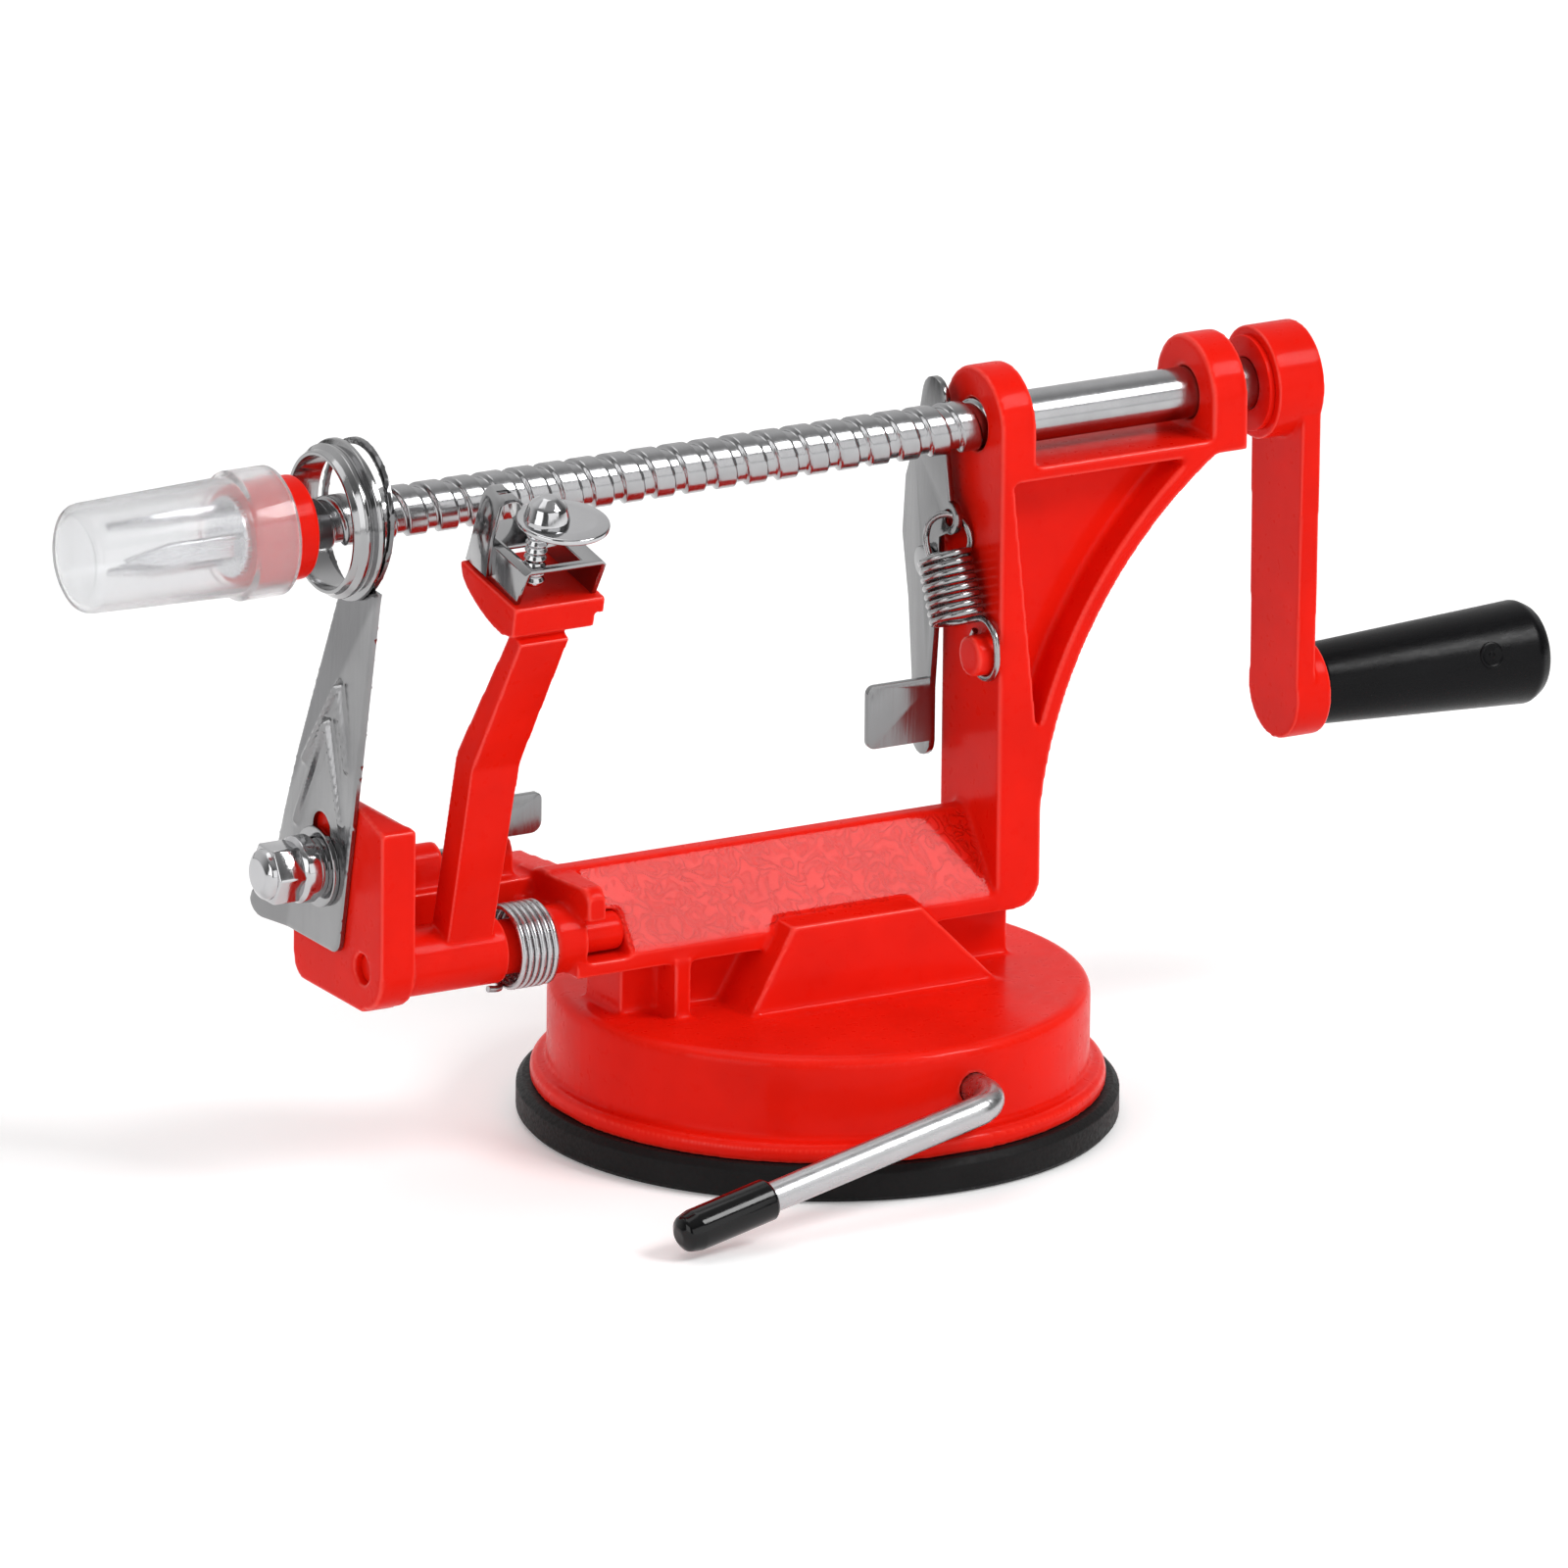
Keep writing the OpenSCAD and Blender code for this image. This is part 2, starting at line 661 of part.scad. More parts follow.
// Two ribs under the cup's ceiling that carry the lever rod
module rod_ribs() {
  rotate([0, 0, rod_turn]) for (s = [-1, 1])
    block([-rod_rib_w / 2, s * (rod_rib_y + rod_rib_t / 2) - rod_rib_t / 2, lever_z - rod_r - rod_rib_h],
          [rod_rib_w / 2, s * (rod_rib_y + rod_rib_t / 2) + rod_rib_t / 2, cup_top - sink]);
}

pocket_room = 1.4;

module frame() {
  pocket_top = stem_top + lift + pocket_room;
  pocket_x = stem_w / 2 + pocket_room;
  pocket_y = stem_depth / 2 + pocket_room;
  color(paint_red) difference() {
    union() {
      difference() {
        union() {
          rotate_extrude() cup_outline();
          pedestal();
        }
        translate([0, 0, pad_h - 1]) cylinder(r = cup_in_r, h = cup_h - cup_wall + 1);
        rotate([0, 0, rod_turn]) block([-pocket_x, -pocket_y, pad_h], [pocket_x, pocket_y, pocket_top]);
      }
      rod_ribs();
      along_x(-beam_left + 1, column_x + beam_left) beam_outline();
      column();
      bracket();
      left_end();
      pivot_lug();
      latch_lugs();
      column_bosses();
    }
    // Bearings of the drive shaft
    rod_x(2 * bore_r, column_x - 1, column_x + ear_span + 1, 0, axis_z);
    // Lever rod
    rotate([0, 0, rod_turn]) translate([0, -cup_d, lever_z]) rotate([-90, 0, 0])
      cylinder(r = rod_r + run, h = cup_d + rod_rib_y + rod_rib_t + 1);
    // Pivot of the peeling arm
    rod_x(journal_d + 2 * run, -frame_left - 1, block_right + 1, pivot_y, pivot_z);
    rod_x(pivot_d + 2 * run, lug_boss_x - 1, lug_boss_x + lug_boss_l + 1, pivot_y, pivot_z);
    // Room for the pin's free end in front of the beam
    rod_x(pin_room_d, lug_boss_x + lug_boss_l, pin_right + pin_room, pivot_y, pivot_z);
    block([lug_boss_x + lug_boss_l, -2 * beam_front, pivot_z - pin_room_d / 2],
          [pin_right + pin_room, pivot_y, pivot_z + pin_room_d / 2]);
    // Slicer bolt, latch pin and feed lever screw
    rod_x(bolt_d + 2 * snug, -frame_left - 1, block_right + 1, bolt_y, bolt_z);
    rod_x(latch_pin_d + 2 * snug, latch_left_x - 1, latch_right_x + latch_lug_t + 1, latch_y, latch_z);
    rod_x(feed_pin_d + 2 * snug, plate_right - 1, feed_screw_end + 0.5, feed_pivot_y, feed_pivot_z);
  }
}

// Drive shaft with its feed thread

thread_end = column_x + thread_in;
collar_floor = 2;
shaft_left = collar_left + collar_floor;
hub_floor = 2;
shaft_right = hub_x + hub_l - hub_floor;
turn_rows = 18;

// The groove stands at the lever's plate on the shaft's back, where the lever's edge bites
thread_start = plate_mid - pitch * ceil((plate_mid - thread_x) / pitch + 1);
thread_turns = ceil((thread_end - thread_start) / pitch + 1);
thread_rows = turn_rows * thread_turns;

// One row across a pitch: two points on the groove's floor, two on the crest
function thread_row(i) =
  let (a = 360 * i / turn_rows, x = thread_start + pitch * i / turn_rows, half = groove_w / 2)
  [for (q = [[root_r, flank - half], [root_r, half - flank], [crest_r, half], [crest_r, pitch - half]])
    [x + q[1], q[0] * cos(a), q[0] * sin(a)]];

function quad(a, b, c, d) = [[a, c, b], [a, d, c]];
function fan(centre, rim) =
  [for (i = [0:len(rim) - 1]) [centre, rim[i], rim[(i + 1) % len(rim)]]];

// Closed screw body whose stepped ends lie inside the shaft's plain ends
module thread() {
  n = thread_rows;
  last = n - turn_rows;
  side = [for (i = [0:n]) each thread_row(i)];
  ends = [[thread_start, 0, 0], [thread_start + pitch * (thread_turns + 1), 0, 0]];
  strips = [for (i = [0:n - 1]) for (k = [0:2])
    each quad(4 * i + k, 4 * i + 4 + k, 4 * i + 5 + k, 4 * i + 1 + k)];
  joins = [for (i = [0:last - 1])
    each quad(4 * i + 3, 4 * i + 7, 4 * (i + turn_rows) + 4, 4 * (i + turn_rows))];
  left_rim = concat([for (i = [0:turn_rows]) 4 * i], [3, 2, 1]);
  right_rim = concat([for (i = [n:-1:last]) 4 * i + 3], [4 * n, 4 * n + 1, 4 * n + 2]);
  polyhedron(concat(side, ends),
    concat(strips, joins, fan(len(side), left_rim), fan(len(side) + 1, right_rim)));
}

module drive_shaft() {
  color(steel) {
    rod_x(shaft_d, shaft_left, thread_x, 0, axis_z);
    translate([0, 0, axis_z]) thread();
    difference() {
      rod_x(shaft_d, thread_end, shaft_right, 0, axis_z);
      rod_x(crank_bolt_d + 2 * snug, shaft_right - crank_bolt_l, shaft_right + 1, 0, axis_z);
    }
  }
}

// Fork, collar and cap

collar_r = collar_d / 2;
collar_bevel = 0.6;
cap_seat = 0.15;
cap_in_r = collar_r + cap_seat;

module fork_collar() {
  color(paint_red) turned_x(0, axis_z) polygon([
    [shaft_r + snug, collar_left + collar_floor], [0, collar_left + collar_floor], [0, collar_left],
    [collar_r - collar_bevel, collar_left], [collar_r, collar_left + collar_bevel],
    [collar_r, collar_right - collar_bevel], [collar_r - collar_bevel, collar_right],
    [shaft_r + snug, collar_right]
  ]);
}

fork_base_d = 15;
fork_base_t = 1.4;
prong_r = 5;
prong_tip = 0.6;
prong_shoulder = 0.6;

module fork() {
  base_x = collar_left - fork_base_t;
  color(steel) {
    rod_x(fork_base_d, base_x, collar_left, 0, axis_z);
    for (a = [90, 210, 330])
      translate([0, 0, axis_z]) rotate([a, 0, 0]) translate([0, 0, prong_r - prong_t / 2])
        linear_extrude(prong_t) polygon([
          [base_x + fork_base_t / 2, -prong_w / 2], [base_x + fork_base_t / 2, prong_w / 2],
          [base_x - prong_l * prong_shoulder, prong_w / 2], [base_x - prong_l, prong_tip / 2],
          [base_x - prong_l, -prong_tip / 2], [base_x - prong_l * prong_shoulder, -prong_w / 2]
        ]);
  }
}

cap_edge = 2;

module fork_cap() {
  band_x = cap_right - cap_band_l;
  in_left = cap_in_r - cap_taper;
  color([0.9, 0.92, 0.94, 0.5]) turned_x(0, axis_z) polygon(concat(
    [[0, cap_left + cap_wall], [0, cap_left]],
    arc([in_left + cap_wall - cap_edge, cap_left + cap_edge], cap_edge, -90, 0, 5),
    [[cap_in_r + cap_wall, band_x], [cap_band_d / 2, band_x + cap_wall / 2], [cap_band_d / 2, cap_right],
     [cap_in_r, cap_right], [cap_in_r, band_x], [in_left, cap_left + cap_wall]]
  ));
}

// Crank

module thrust_washer() {
  color(paint_red) turned_x(0, axis_z)
    translate([bore_r, washer_x]) square([washer_w, washer_t]);
}

washer_w = 4;
crank_bolt_d = 4;
crank_bolt_l = 12;
crank_head_d = 8;
crank_head_h = 3;
cross_w = 1;
cross_l = 4.6;
arm_taper = 1;
spindle_floor = 1.5;

module crank_arm() {
  boss_z = axis_z - crank_throw;
  color(paint_red) difference() {
    union() {
      rod_x(hub_d, hub_x, hub_x + hub_l, 0, axis_z);
      rod_x(grip_boss_d, arm_x, grip_x, 0, boss_z);
      along_x(arm_x, arm_t) polygon([
        [-arm_w / 2, axis_z], [arm_w / 2, axis_z],
        [arm_w / 2 - arm_taper, boss_z], [arm_taper - arm_w / 2, boss_z]
      ]);
    }
    rod_x(shaft_d + 2 * snug, hub_x - 1, shaft_right, 0, axis_z);
    rod_x(crank_bolt_d + 2 * snug, shaft_right - 1, hub_x + hub_l + 1, 0, axis_z);
    rod_x(spindle_d + 2 * snug, arm_x + spindle_floor, grip_x + 1, 0, boss_z);
  }
}

module crank_screw() {
  head_x = hub_x + hub_l;
  color(steel) difference() {
    union() {
      rod_x(crank_bolt_d, shaft_right - crank_bolt_l + 0.5, head_x, 0, axis_z);
      turned_x(0, axis_z) polygon(concat(
        [[0, head_x], [crank_head_d / 2, head_x]],
        arc([crank_head_d / 4, head_x + crank_head_h / 3], crank_head_d / 4, 0, 90, 4),
        [[0, head_x + crank_head_h / 3 + crank_head_d / 4]]
      ));
    }
    for (a = [0, 90]) translate([head_x + crank_head_h, 0, axis_z]) rotate([a, 0, 0])
      cube([crank_head_h, cross_w, cross_l], center = true);
  }
}

grip_crown = 4;
grip_bevel = 0.8;
grip_cover = 7;
spindle_end = grip_x + side_gap + grip_l - grip_cover;

module grip_spindle() {
  color(steel) rod_x(spindle_d, arm_x + spindle_floor, spindle_end, 0, axis_z - crank_throw);
}

module crank_grip() {
  x0 = grip_x + side_gap;
  x1 = x0 + grip_l;
  r1 = grip_end_d / 2;
  bore = spindle_d / 2 + run;
  color(black) turned_x(0, axis_z - crank_throw) polygon(concat(
    [[bore, x0], [grip_d / 2 - grip_bevel, x0], [grip_d / 2, x0 + grip_bevel]],
    arc([r1 - grip_crown, x1 - grip_crown], grip_crown, 0, 70, 5),
    [[0, x1], [0, spindle_end + side_gap], [bore, spindle_end + side_gap]]
  ));
}

// Feed lever with its spring

feed_screw_end = column_x + 6;
feed_head_d = 6;
feed_head_t = 1.4;
bite_y = crest_r - bite;
nose_r = 4.2;
nose_rise = 3;
hook_y = 2.6;
hook_z = axis_z - 18;
hook_hole_d = 3.2;
hook_eye_r = 3.1;
tab_front = 8.6;
tab_foot = -62;
feed_foot_r = 3.4;

// Edges of the lever's plate, measured from the shaft axis
feed_back_edge = [[15.5, -7], [18.5, -14], [19.5, -25], [17, -37], [tab_front + 2 * feed_foot_r, -52]];
feed_front_edge = [[tab_front, -52], [7.4, -40], [6, -33], [6, -22.5]];

module feed_lever_outline() {
  difference() {
    union() {
      translate([0, axis_z]) polygon(concat(
        [[bite_y, -6], [bite_y, nose_rise]],
        arc([bite_y + nose_r, nose_rise], nose_r, 180, 20, 8),
        feed_back_edge,
        arc([tab_front + feed_foot_r, tab_foot], feed_foot_r, 0, -180, 8),
        feed_front_edge,
        [[hook_y, hook_z - axis_z - hook_eye_r + 0.3], [hook_y, hook_z - axis_z + hook_eye_r - 0.3]]
      ));
      translate([hook_y, hook_z]) circle(r = hook_eye_r);
    }
    translate([feed_pivot_y, feed_pivot_z]) circle(r = feed_pin_d / 2 + run);
    translate([hook_y, hook_z]) circle(d = hook_hole_d);
  }
}

module feed_lever() {
  plate_x = plate_right - plate_t;
  color(steel) {
    along_x(plate_x, plate_t) feed_lever_outline();
    block([plate_x - tab_l, tab_front, axis_z + tab_foot],
          [plate_right, tab_front + plate_t, axis_z + tab_foot + tab_h]);
  }
}

module feed_lever_screw() {
  head_x = plate_right - plate_t - thin_gap;
  color(steel) {
    rod_x(feed_pin_d, head_x - feed_head_t / 2, feed_screw_end, feed_pivot_y, feed_pivot_z);
    rod_x(feed_head_d, head_x - feed_head_t, head_x, feed_pivot_y, feed_pivot_z);
  }
}

coil_rows = 8;
feed_axis_out = 5.6;
feed_top_y = 0.1;
feed_top_drop = 24.6;
feed_foot_y = -4.8;
feed_foot_drop = 35;
feed_axis_x = column_x - feed_axis_out;
feed_top = [feed_axis_x, feed_top_y, axis_z - feed_top_drop];
feed_foot = [feed_axis_x, feed_foot_y, axis_z - feed_foot_drop];

// A helix between two points, starting at a given angle about the line between them
function helix(a, b, r, rows, start, side) =
  let (t = unit(b - a), u = unit(side - (side * t) * t), v = cross(t, u))
  [for (i = [0:rows]) let (w = start + 360 * i / coil_rows)
    a + (b - a) * i / rows + r * (cos(w) * u + sin(w) * v)];

// Ring through the lever's eye, coils from the back to the right, loop round the post
eye_ring_r = 4;
eye_ring_left = 0.3;
eye_ring_back = 0.4;
eye_ring_drop = 3.85;
eye_ring_c = [plate_mid - eye_ring_left, hook_y + eye_ring_back, hook_z - eye_ring_drop];
eye_ring_side = [0.6, -0.8, 0];
eye_lead_x = [-2.8, -2.7, -2.5];
eye_lead_y = [3.1, 2.5, 1.9];
eye_lead_z = [-1.6, -3.2, -4.2];
post_loop_play = 0.475;
post_loop_out = 1.3;
post_loop_lift = 0.3;
post_loop_r = post_d / 2 + feed_wire / 2 + post_loop_play;
post_loop_x = column_x - post_loop_out;
post_loop_z = post_z + post_loop_lift;
post_lead_x = [-0.1, -0.2];
post_lead_y = [-2.7, -5.2];
post_lead_z = [0.3, -0.8];
post_lead_end_y = 4.2;
post_lead_end_z = 3.5;
coil_end = feed_foot + [feed_coil_r, 0, 0];
feed_path = concat(
  [for (a = [0:30:180]) eye_ring_c + eye_ring_r * (cos(a) * eye_ring_side + sin(a) * [0, 0, 1])],
  [for (i = [0:2]) eye_ring_c + [eye_lead_x[i], eye_lead_y[i], eye_lead_z[i]]],
  helix(feed_top, feed_foot, feed_coil_r, feed_coils * coil_rows + 2, 270, [1, 0, 0]),
  [for (i = [0:1]) coil_end + [post_lead_x[i], post_lead_y[i], post_lead_z[i]]],
  [[post_loop_x, post_y - post_lead_end_y, post_loop_z + post_lead_end_z]],
  [for (a = [165:30:405])
    [post_loop_x, post_y + post_loop_r * cos(a), post_loop_z + post_loop_r * sin(a)]]
);

module feed_spring() {
  echo(feed_spring_gap = self_gap(feed_path, feed_wire, 5));
  color(steel) wire(feed_path, feed_wire, [0, 1, 0.2]);
}

// Slicer plate with the coring ring

eye_r = ring_bore / 2 + ring_wall;
eye_rim = 1.2;
slot_play = 0.4;
slot_z = bolt_z + 2;
slicer_foot_z = pivot_z + 1;
slicer_foot_y = 1.2;
slicer_neck_z = axis_z - 11;
slicer_neck_y = [-12.2, 2.6];
foot_corner = 3;

module slicer_outline() {
  difference() {
    union() {
      translate([0, axis_z]) circle(r = eye_r + eye_rim);
      polygon(concat(
        [[slicer_neck_y[0], slicer_neck_z], [slicer_neck_y[1], slicer_neck_z]],
        arc([slicer_foot_y + slicer_foot_w - foot_corner, slicer_foot_z + foot_corner],
          foot_corner, 0, -90, 4),
        arc([slicer_foot_y + foot_corner, slicer_foot_z + foot_corner], foot_corner, -90, -170, 4)
      ));
    }
    translate([0, axis_z]) circle(r = eye_r + snug);
    translate([bolt_y, slot_z]) {
      square([bolt_d + slot_play, slot_l - bolt_d], center = true);
      for (s = [-1, 1]) translate([0, s * (slot_l - bolt_d) / 2]) circle(d = bolt_d + slot_play);
    }
  }
}

chevron_t = 1.4;
chevron_rise = 0.5;

// Embossed chevron: apex, end of the back leg, end of the front leg
module chevron(a, b, c) {
  polygon([a, b, b - [chevron_t, 0], a - [0, 2.6 * chevron_t], c + [chevron_t, 0], c]);
}

module slicer_blade() {
  color(steel) {
    along_x(plate_left, slicer_t) slicer_outline();
    along_x(plate_left - chevron_rise, chevron_rise + slicer_t / 2) translate([0, axis_z]) {
      chevron([0, -30], [12.5, -50], [-2, -48]);
      chevron([5.5, -41.5], [15, -59], [1, -57]);
    }
  }
}

ring_flange = 1.6;
ring_flange_t = 0.9;
ring_bead = 0.9;

module coring_ring() {
  r = ring_bore / 2;
  plate_back = plate_left + slicer_t;
  color(steel) turned_x(0, axis_z) polygon(concat(
    [[r, ring_x], [r, plate_back], [eye_r, plate_back], [eye_r, plate_left],
     [eye_r + ring_flange, plate_left], [eye_r + ring_flange, plate_left - ring_flange_t],
     [eye_r, plate_left - 1.4 * ring_flange_t]],
    arc([eye_r, (ring_x + plate_left - ring_flange_t) / 2], ring_bead, 90, -90, 6),
    [[eye_r, ring_x + ring_wall], [eye_r - ring_wall / 3, ring_x]]
  ));
}

slicer_washer_t = 1.2;
slicer_washer_w = 4.4;
lock_washer_t = 1.5;
lock_washer_w = 2.6;
lock_cut = 0.8;
nut_x = plate_left - slicer_washer_t - lock_washer_t;
nut_flange_t = 2;
nut_flange_d = 12.6;
nut_af = 10;
nut_hex_l = 4.6;
nut_l = 10.4;
dome_r = 4.9;
bolt_head_t = 3.6;
bolt_out = 6;

module hexagon() {
  translate([bolt_y, bolt_z]) circle(d = nut_af / cos(30), $fn = 6);
}

module slicer_bolt() {
  color(steel) {
    rod_x(bolt_d, nut_x - bolt_out, block_right, bolt_y, bolt_z);
    along_x(block_right, bolt_head_t) hexagon();
  }
}

module slicer_washer() {
  color(steel) turned_x(bolt_y, bolt_z)
    translate([bolt_d / 2 + snug, plate_left - slicer_washer_t]) square([slicer_washer_w, slicer_washer_t]);
}

module slicer_lock_washer() {
  color(steel) difference() {
    turned_x(bolt_y, bolt_z) translate([bolt_d / 2 + snug, nut_x]) square([lock_washer_w, lock_washer_t]);
    translate([nut_x + lock_washer_t / 2, bolt_y, bolt_z + bolt_d / 2 + lock_washer_w / 2]) rotate([0, 0, 30])
      cube([4 * lock_washer_t, lock_cut, 2 * lock_washer_w], center = true);
  }
}

module slicer_nut() {
  color(steel) difference() {
    union() {
      rod_x(nut_flange_d, nut_x - nut_flange_t, nut_x, bolt_y, bolt_z);
      along_x(nut_x - nut_flange_t - nut_hex_l, nut_hex_l + nut_flange_t / 2) hexagon();
      turned_x(bolt_y, bolt_z) polygon(concat(
        [[0, nut_x - nut_flange_t], [0, nut_x - nut_l]],
        arc([0, nut_x - nut_l + dome_r], dome_r, -85, 0, 6),
        [[dome_r, nut_x - nut_flange_t]]
      ));
    }
    rod_x(bolt_d + 2 * snug, nut_x - bolt_out - thin_gap, nut_x + 1, bolt_y, bolt_z);
  }
}

// Peeling arm

peel_arm_x = block_right + 7.8;
head_x = peel_arm_x + peel_arm_w - 0.3;
head_y = -head_front;
head_z = axis_z - head_drop;
arm_foot = [pivot_y - 0.6, pivot_z];
arm_knee = [pivot_y - 10.5, pivot_z + 40];
arm_neck = [head_y - 6.8, head_z - 7.5];
spigot_d = 10;
arm_lean = 1.5;
arm_spread = 2.4;
arm_widen = 0.8;
lip_h = 3;
lip_out = 1.7;
wedge_h = 5.6;
wedge_drop = 6.9;
// Belly of the head, as shares of half its length and of its depth
belly = [
  [-0.6, 1], [-0.32, 0.99], [-0.04, 0.94], [0.23, 0.85], [0.5, 0.72], [0.72, 0.58], [0.88, 0.41], [0.97, 0.17]
];
screw_depth = 5;

// The head's own frame: origin at the centre of its top face, -Y sloping down to the front
module head_frame() {
  translate([head_x, head_y, head_z]) rotate([head_tilt, 0, 0]) children();
}

function side_step(a, b, d) = d * unit([-(b - a)[1], (b - a)[0]]);

module peel_arm() {
  low = side_step(arm_foot, arm_knee, peel_arm_t / 2);
  high = side_step(arm_knee, arm_neck, peel_arm_t / 2);
  mid = (low + high) / 2;
  back = arm_neck + high - side_step(arm_knee, arm_neck, neck_t);
  color(paint_red) difference() {
    union() {
      rod_x(barrel_d, barrel_left, barrel_right, pivot_y, pivot_z);
      rod_x(spigot_d, barrel_left, lug_boss_x - side_gap, pivot_y, pivot_z);
      intersection() {
        along_x(peel_arm_x, 2 * peel_arm_w) polygon([
          arm_foot - low, arm_foot + low, arm_knee + mid, arm_neck + high, back, arm_knee - mid
        ]);
        along_y(2 * arm_neck[0], -2 * arm_neck[0]) polygon([
          [peel_arm_x, pivot_z - peel_arm_t], [peel_arm_x, arm_knee[1]], [peel_arm_x + arm_lean, head_z],
          [peel_arm_x + peel_arm_w + arm_spread, head_z], [peel_arm_x + peel_arm_w + arm_widen, arm_knee[1]],
          [peel_arm_x + peel_arm_w, pivot_z - peel_arm_t]
        ]);
      }
      head_frame() {
        along_x(-head_w / 2, head_w) polygon([
          [head_l / 2, 0], [-head_l / 2, 0], [-head_l / 2, -lip_h], [0.7 * head_l / 2, -lip_h]
        ]);
        along_x(-head_w / 2, head_w - lip_out) polygon(concat(
          [[head_l / 2, 0], [-head_l / 2, 0], [-head_l / 2, -wedge_h]],
          [for (q = belly) [q[0] * head_l / 2, -q[1] * wedge_drop]]
        ));
      }
    }
    rod_x(pivot_d + 2 * snug, barrel_left - 1, lug_boss_x + 1, pivot_y, pivot_z);
    head_frame() translate([thumb_x, thumb_y, -screw_depth])
      cylinder(d = thumb_d + 2 * snug, h = 2 * screw_depth);
  }
}

pin_left = -frame_left + 1.4;
pin_right = lug_boss_x + lug_boss_l + 8.7;
pin_bevel = 0.8;
pin_room = 0.3;
pin_room_d = pivot_d + 2 * pin_room;

module arm_pivot_pin() {
  color(paint_red) {
    rod_x(journal_d, pin_left, barrel_left + 1, pivot_y, pivot_z);
    turned_x(pivot_y, pivot_z) polygon([
      [0, barrel_left], [pivot_d / 2, barrel_left], [pivot_d / 2, pin_right - pin_bevel],
      [pivot_d / 2 - pin_bevel, pin_right], [0, pin_right]
    ]);
  }
}

// Torsion spring: one tail under the arm's barrel, one under the frame's bar
twist_end = twist_wire / 2 + 0.3;
twist_lead = twist_wire / 2 + 1;
twist_z = pivot_z - twist_coil_r;
twist_path = concat(
  [[barrel_right - 5, pivot_y - 1.6, twist_z], [barrel_right - 2.2, pivot_y - 1.2, twist_z]],
  helix([barrel_right + twist_lead, pivot_y, pivot_z], [lug_boss_x - twist_end, pivot_y, pivot_z],
    twist_coil_r, twist_coils * coil_rows, 0, [0, 0, -1]),
  [[lug_boss_x - twist_end, pivot_y + 3.4, twist_z + 0.3],
   [lug_boss_x - twist_end, pivot_y + 6.5, twist_z + 0.4]]
);

module torsion_spring() {
  echo(torsion_spring_gap = self_gap(twist_path, twist_wire, 5));
  color(steel) wire(twist_path, twist_wire, [0, 0, 1]);
}

box_front = head_l / 2 + 1;
box_back = head_l / 2 - 3;
box_rake = 2.9;
box_bevel = 1;
box_rim = 1.6;
box_open_l = 10.5;
box_open_w = 9;
thumb_x = -4.6;
thumb_y = box_back - blade_depth - thumb_head_d / 2 - side_gap;
wing_out = 5;
dome_out = 1.5;

module blade_bracket() {
  w = bracket_box_w / 2;
  h = bracket_box_h;
  t = bracket_box_t;
  color(steel) head_frame() difference() {
    intersection() {
      along_y(-box_front, 2 * box_front) polygon([
        [-w, 0], [-w, h - box_bevel], [box_bevel - w, h], [w - box_bevel, h], [w, h - box_bevel], [w, 0],
        [w - t, 0], [w - t, h - t], [t - w, h - t], [t - w, 0]
      ]);
      along_x(-w, 2 * w) polygon([
        [box_rake - box_front, 0], [-box_front, h], [head_l / 2 - box_rake + 1, h], [head_l / 2, 0]
      ]);
    }
    block([box_rim - w, box_rim - box_front, h / 2],
          [box_rim - w + box_open_l, box_rim - box_front + box_open_w, 2 * h]);
  }
}

blade_right = 0;
blade_foot = 1;
blade_bend = 1.2;
blade_slant = [1.2, 3];
slit_w = 1.4;

// Arched strip with a slit, one leg beside the bracket and one on top of it
module peel_blade() {
  x0 = -bracket_box_w / 2 - blade_t;
  x1 = blade_right;
  h = bracket_box_h;
  top = h + blade_h;
  r = blade_bend;
  a = x0 + blade_slant[0];
  b = x1 - blade_slant[1];
  t = blade_t;
  color(steel) head_frame() difference() {
    along_y(box_back - blade_depth, blade_depth) difference() {
      polygon([
        [x0, blade_foot], [x0, h], [a, top - r], [a + r, top], [b - r, top], [b, top - r], [x1, h],
        [x0 + t, h], [x0 + t, blade_foot]
      ]);
      polygon([
        [x0 + t, h - 0.1], [a + t, top - r], [a + r + t / 3, top - t], [b - r - t / 3, top - t],
        [b - t, top - r], [x1 - 1.1 * t, h - 0.1]
      ]);
    }
    translate([(a + b) / 2, box_back - blade_depth / 2, top])
      cube([b - a - 2 * r, slit_w, 4], center = true);
  }
}

thumb_rise = 6;
thumb_head_t = 1.8;
thumb_bevel = 0.6;
thumb_dome_d = 8.4;
thumb_depth = 4;

module thumb_screw() {
  z0 = bracket_box_h + thumb_rise;
  z1 = z0 + thumb_head_t;
  r = thumb_head_d / 2;
  color(steel) head_frame() translate([thumb_x, thumb_y, 0]) {
    translate([0, 0, -thumb_depth]) cylinder(d = thumb_d, h = z0 + thumb_depth + thumb_head_t / 2);
    translate([wing_out, 0, 0]) rotate_extrude() polygon([
      [0, z0], [r - thumb_bevel, z0], [r, z0 + thumb_bevel],
      [r, z1 - thumb_bevel], [r - thumb_bevel, z1], [0, z1]
    ]);
    translate([dome_out, 0, 0]) rotate_extrude() polygon(concat(
      [[0, z1 - thumb_head_t / 2], [thumb_dome_d / 2, z1 - thumb_head_t / 2]],
      arc([0, z1 + thumb_bevel], thumb_dome_d / 2, 0, 85, 6), [[0, z1 + thumb_bevel + thumb_dome_d / 2]]
    ));
  }
}

// Arm latch

latch_x = latch_right_x - side_gap - latch_t;
latch_tab_l = 11.5;
latch_tab_h = 7.5;
latch_lean = 7;
latch_strip_w = 6;
latch_head_t = 1.2;
latch_head_w = 1.2;

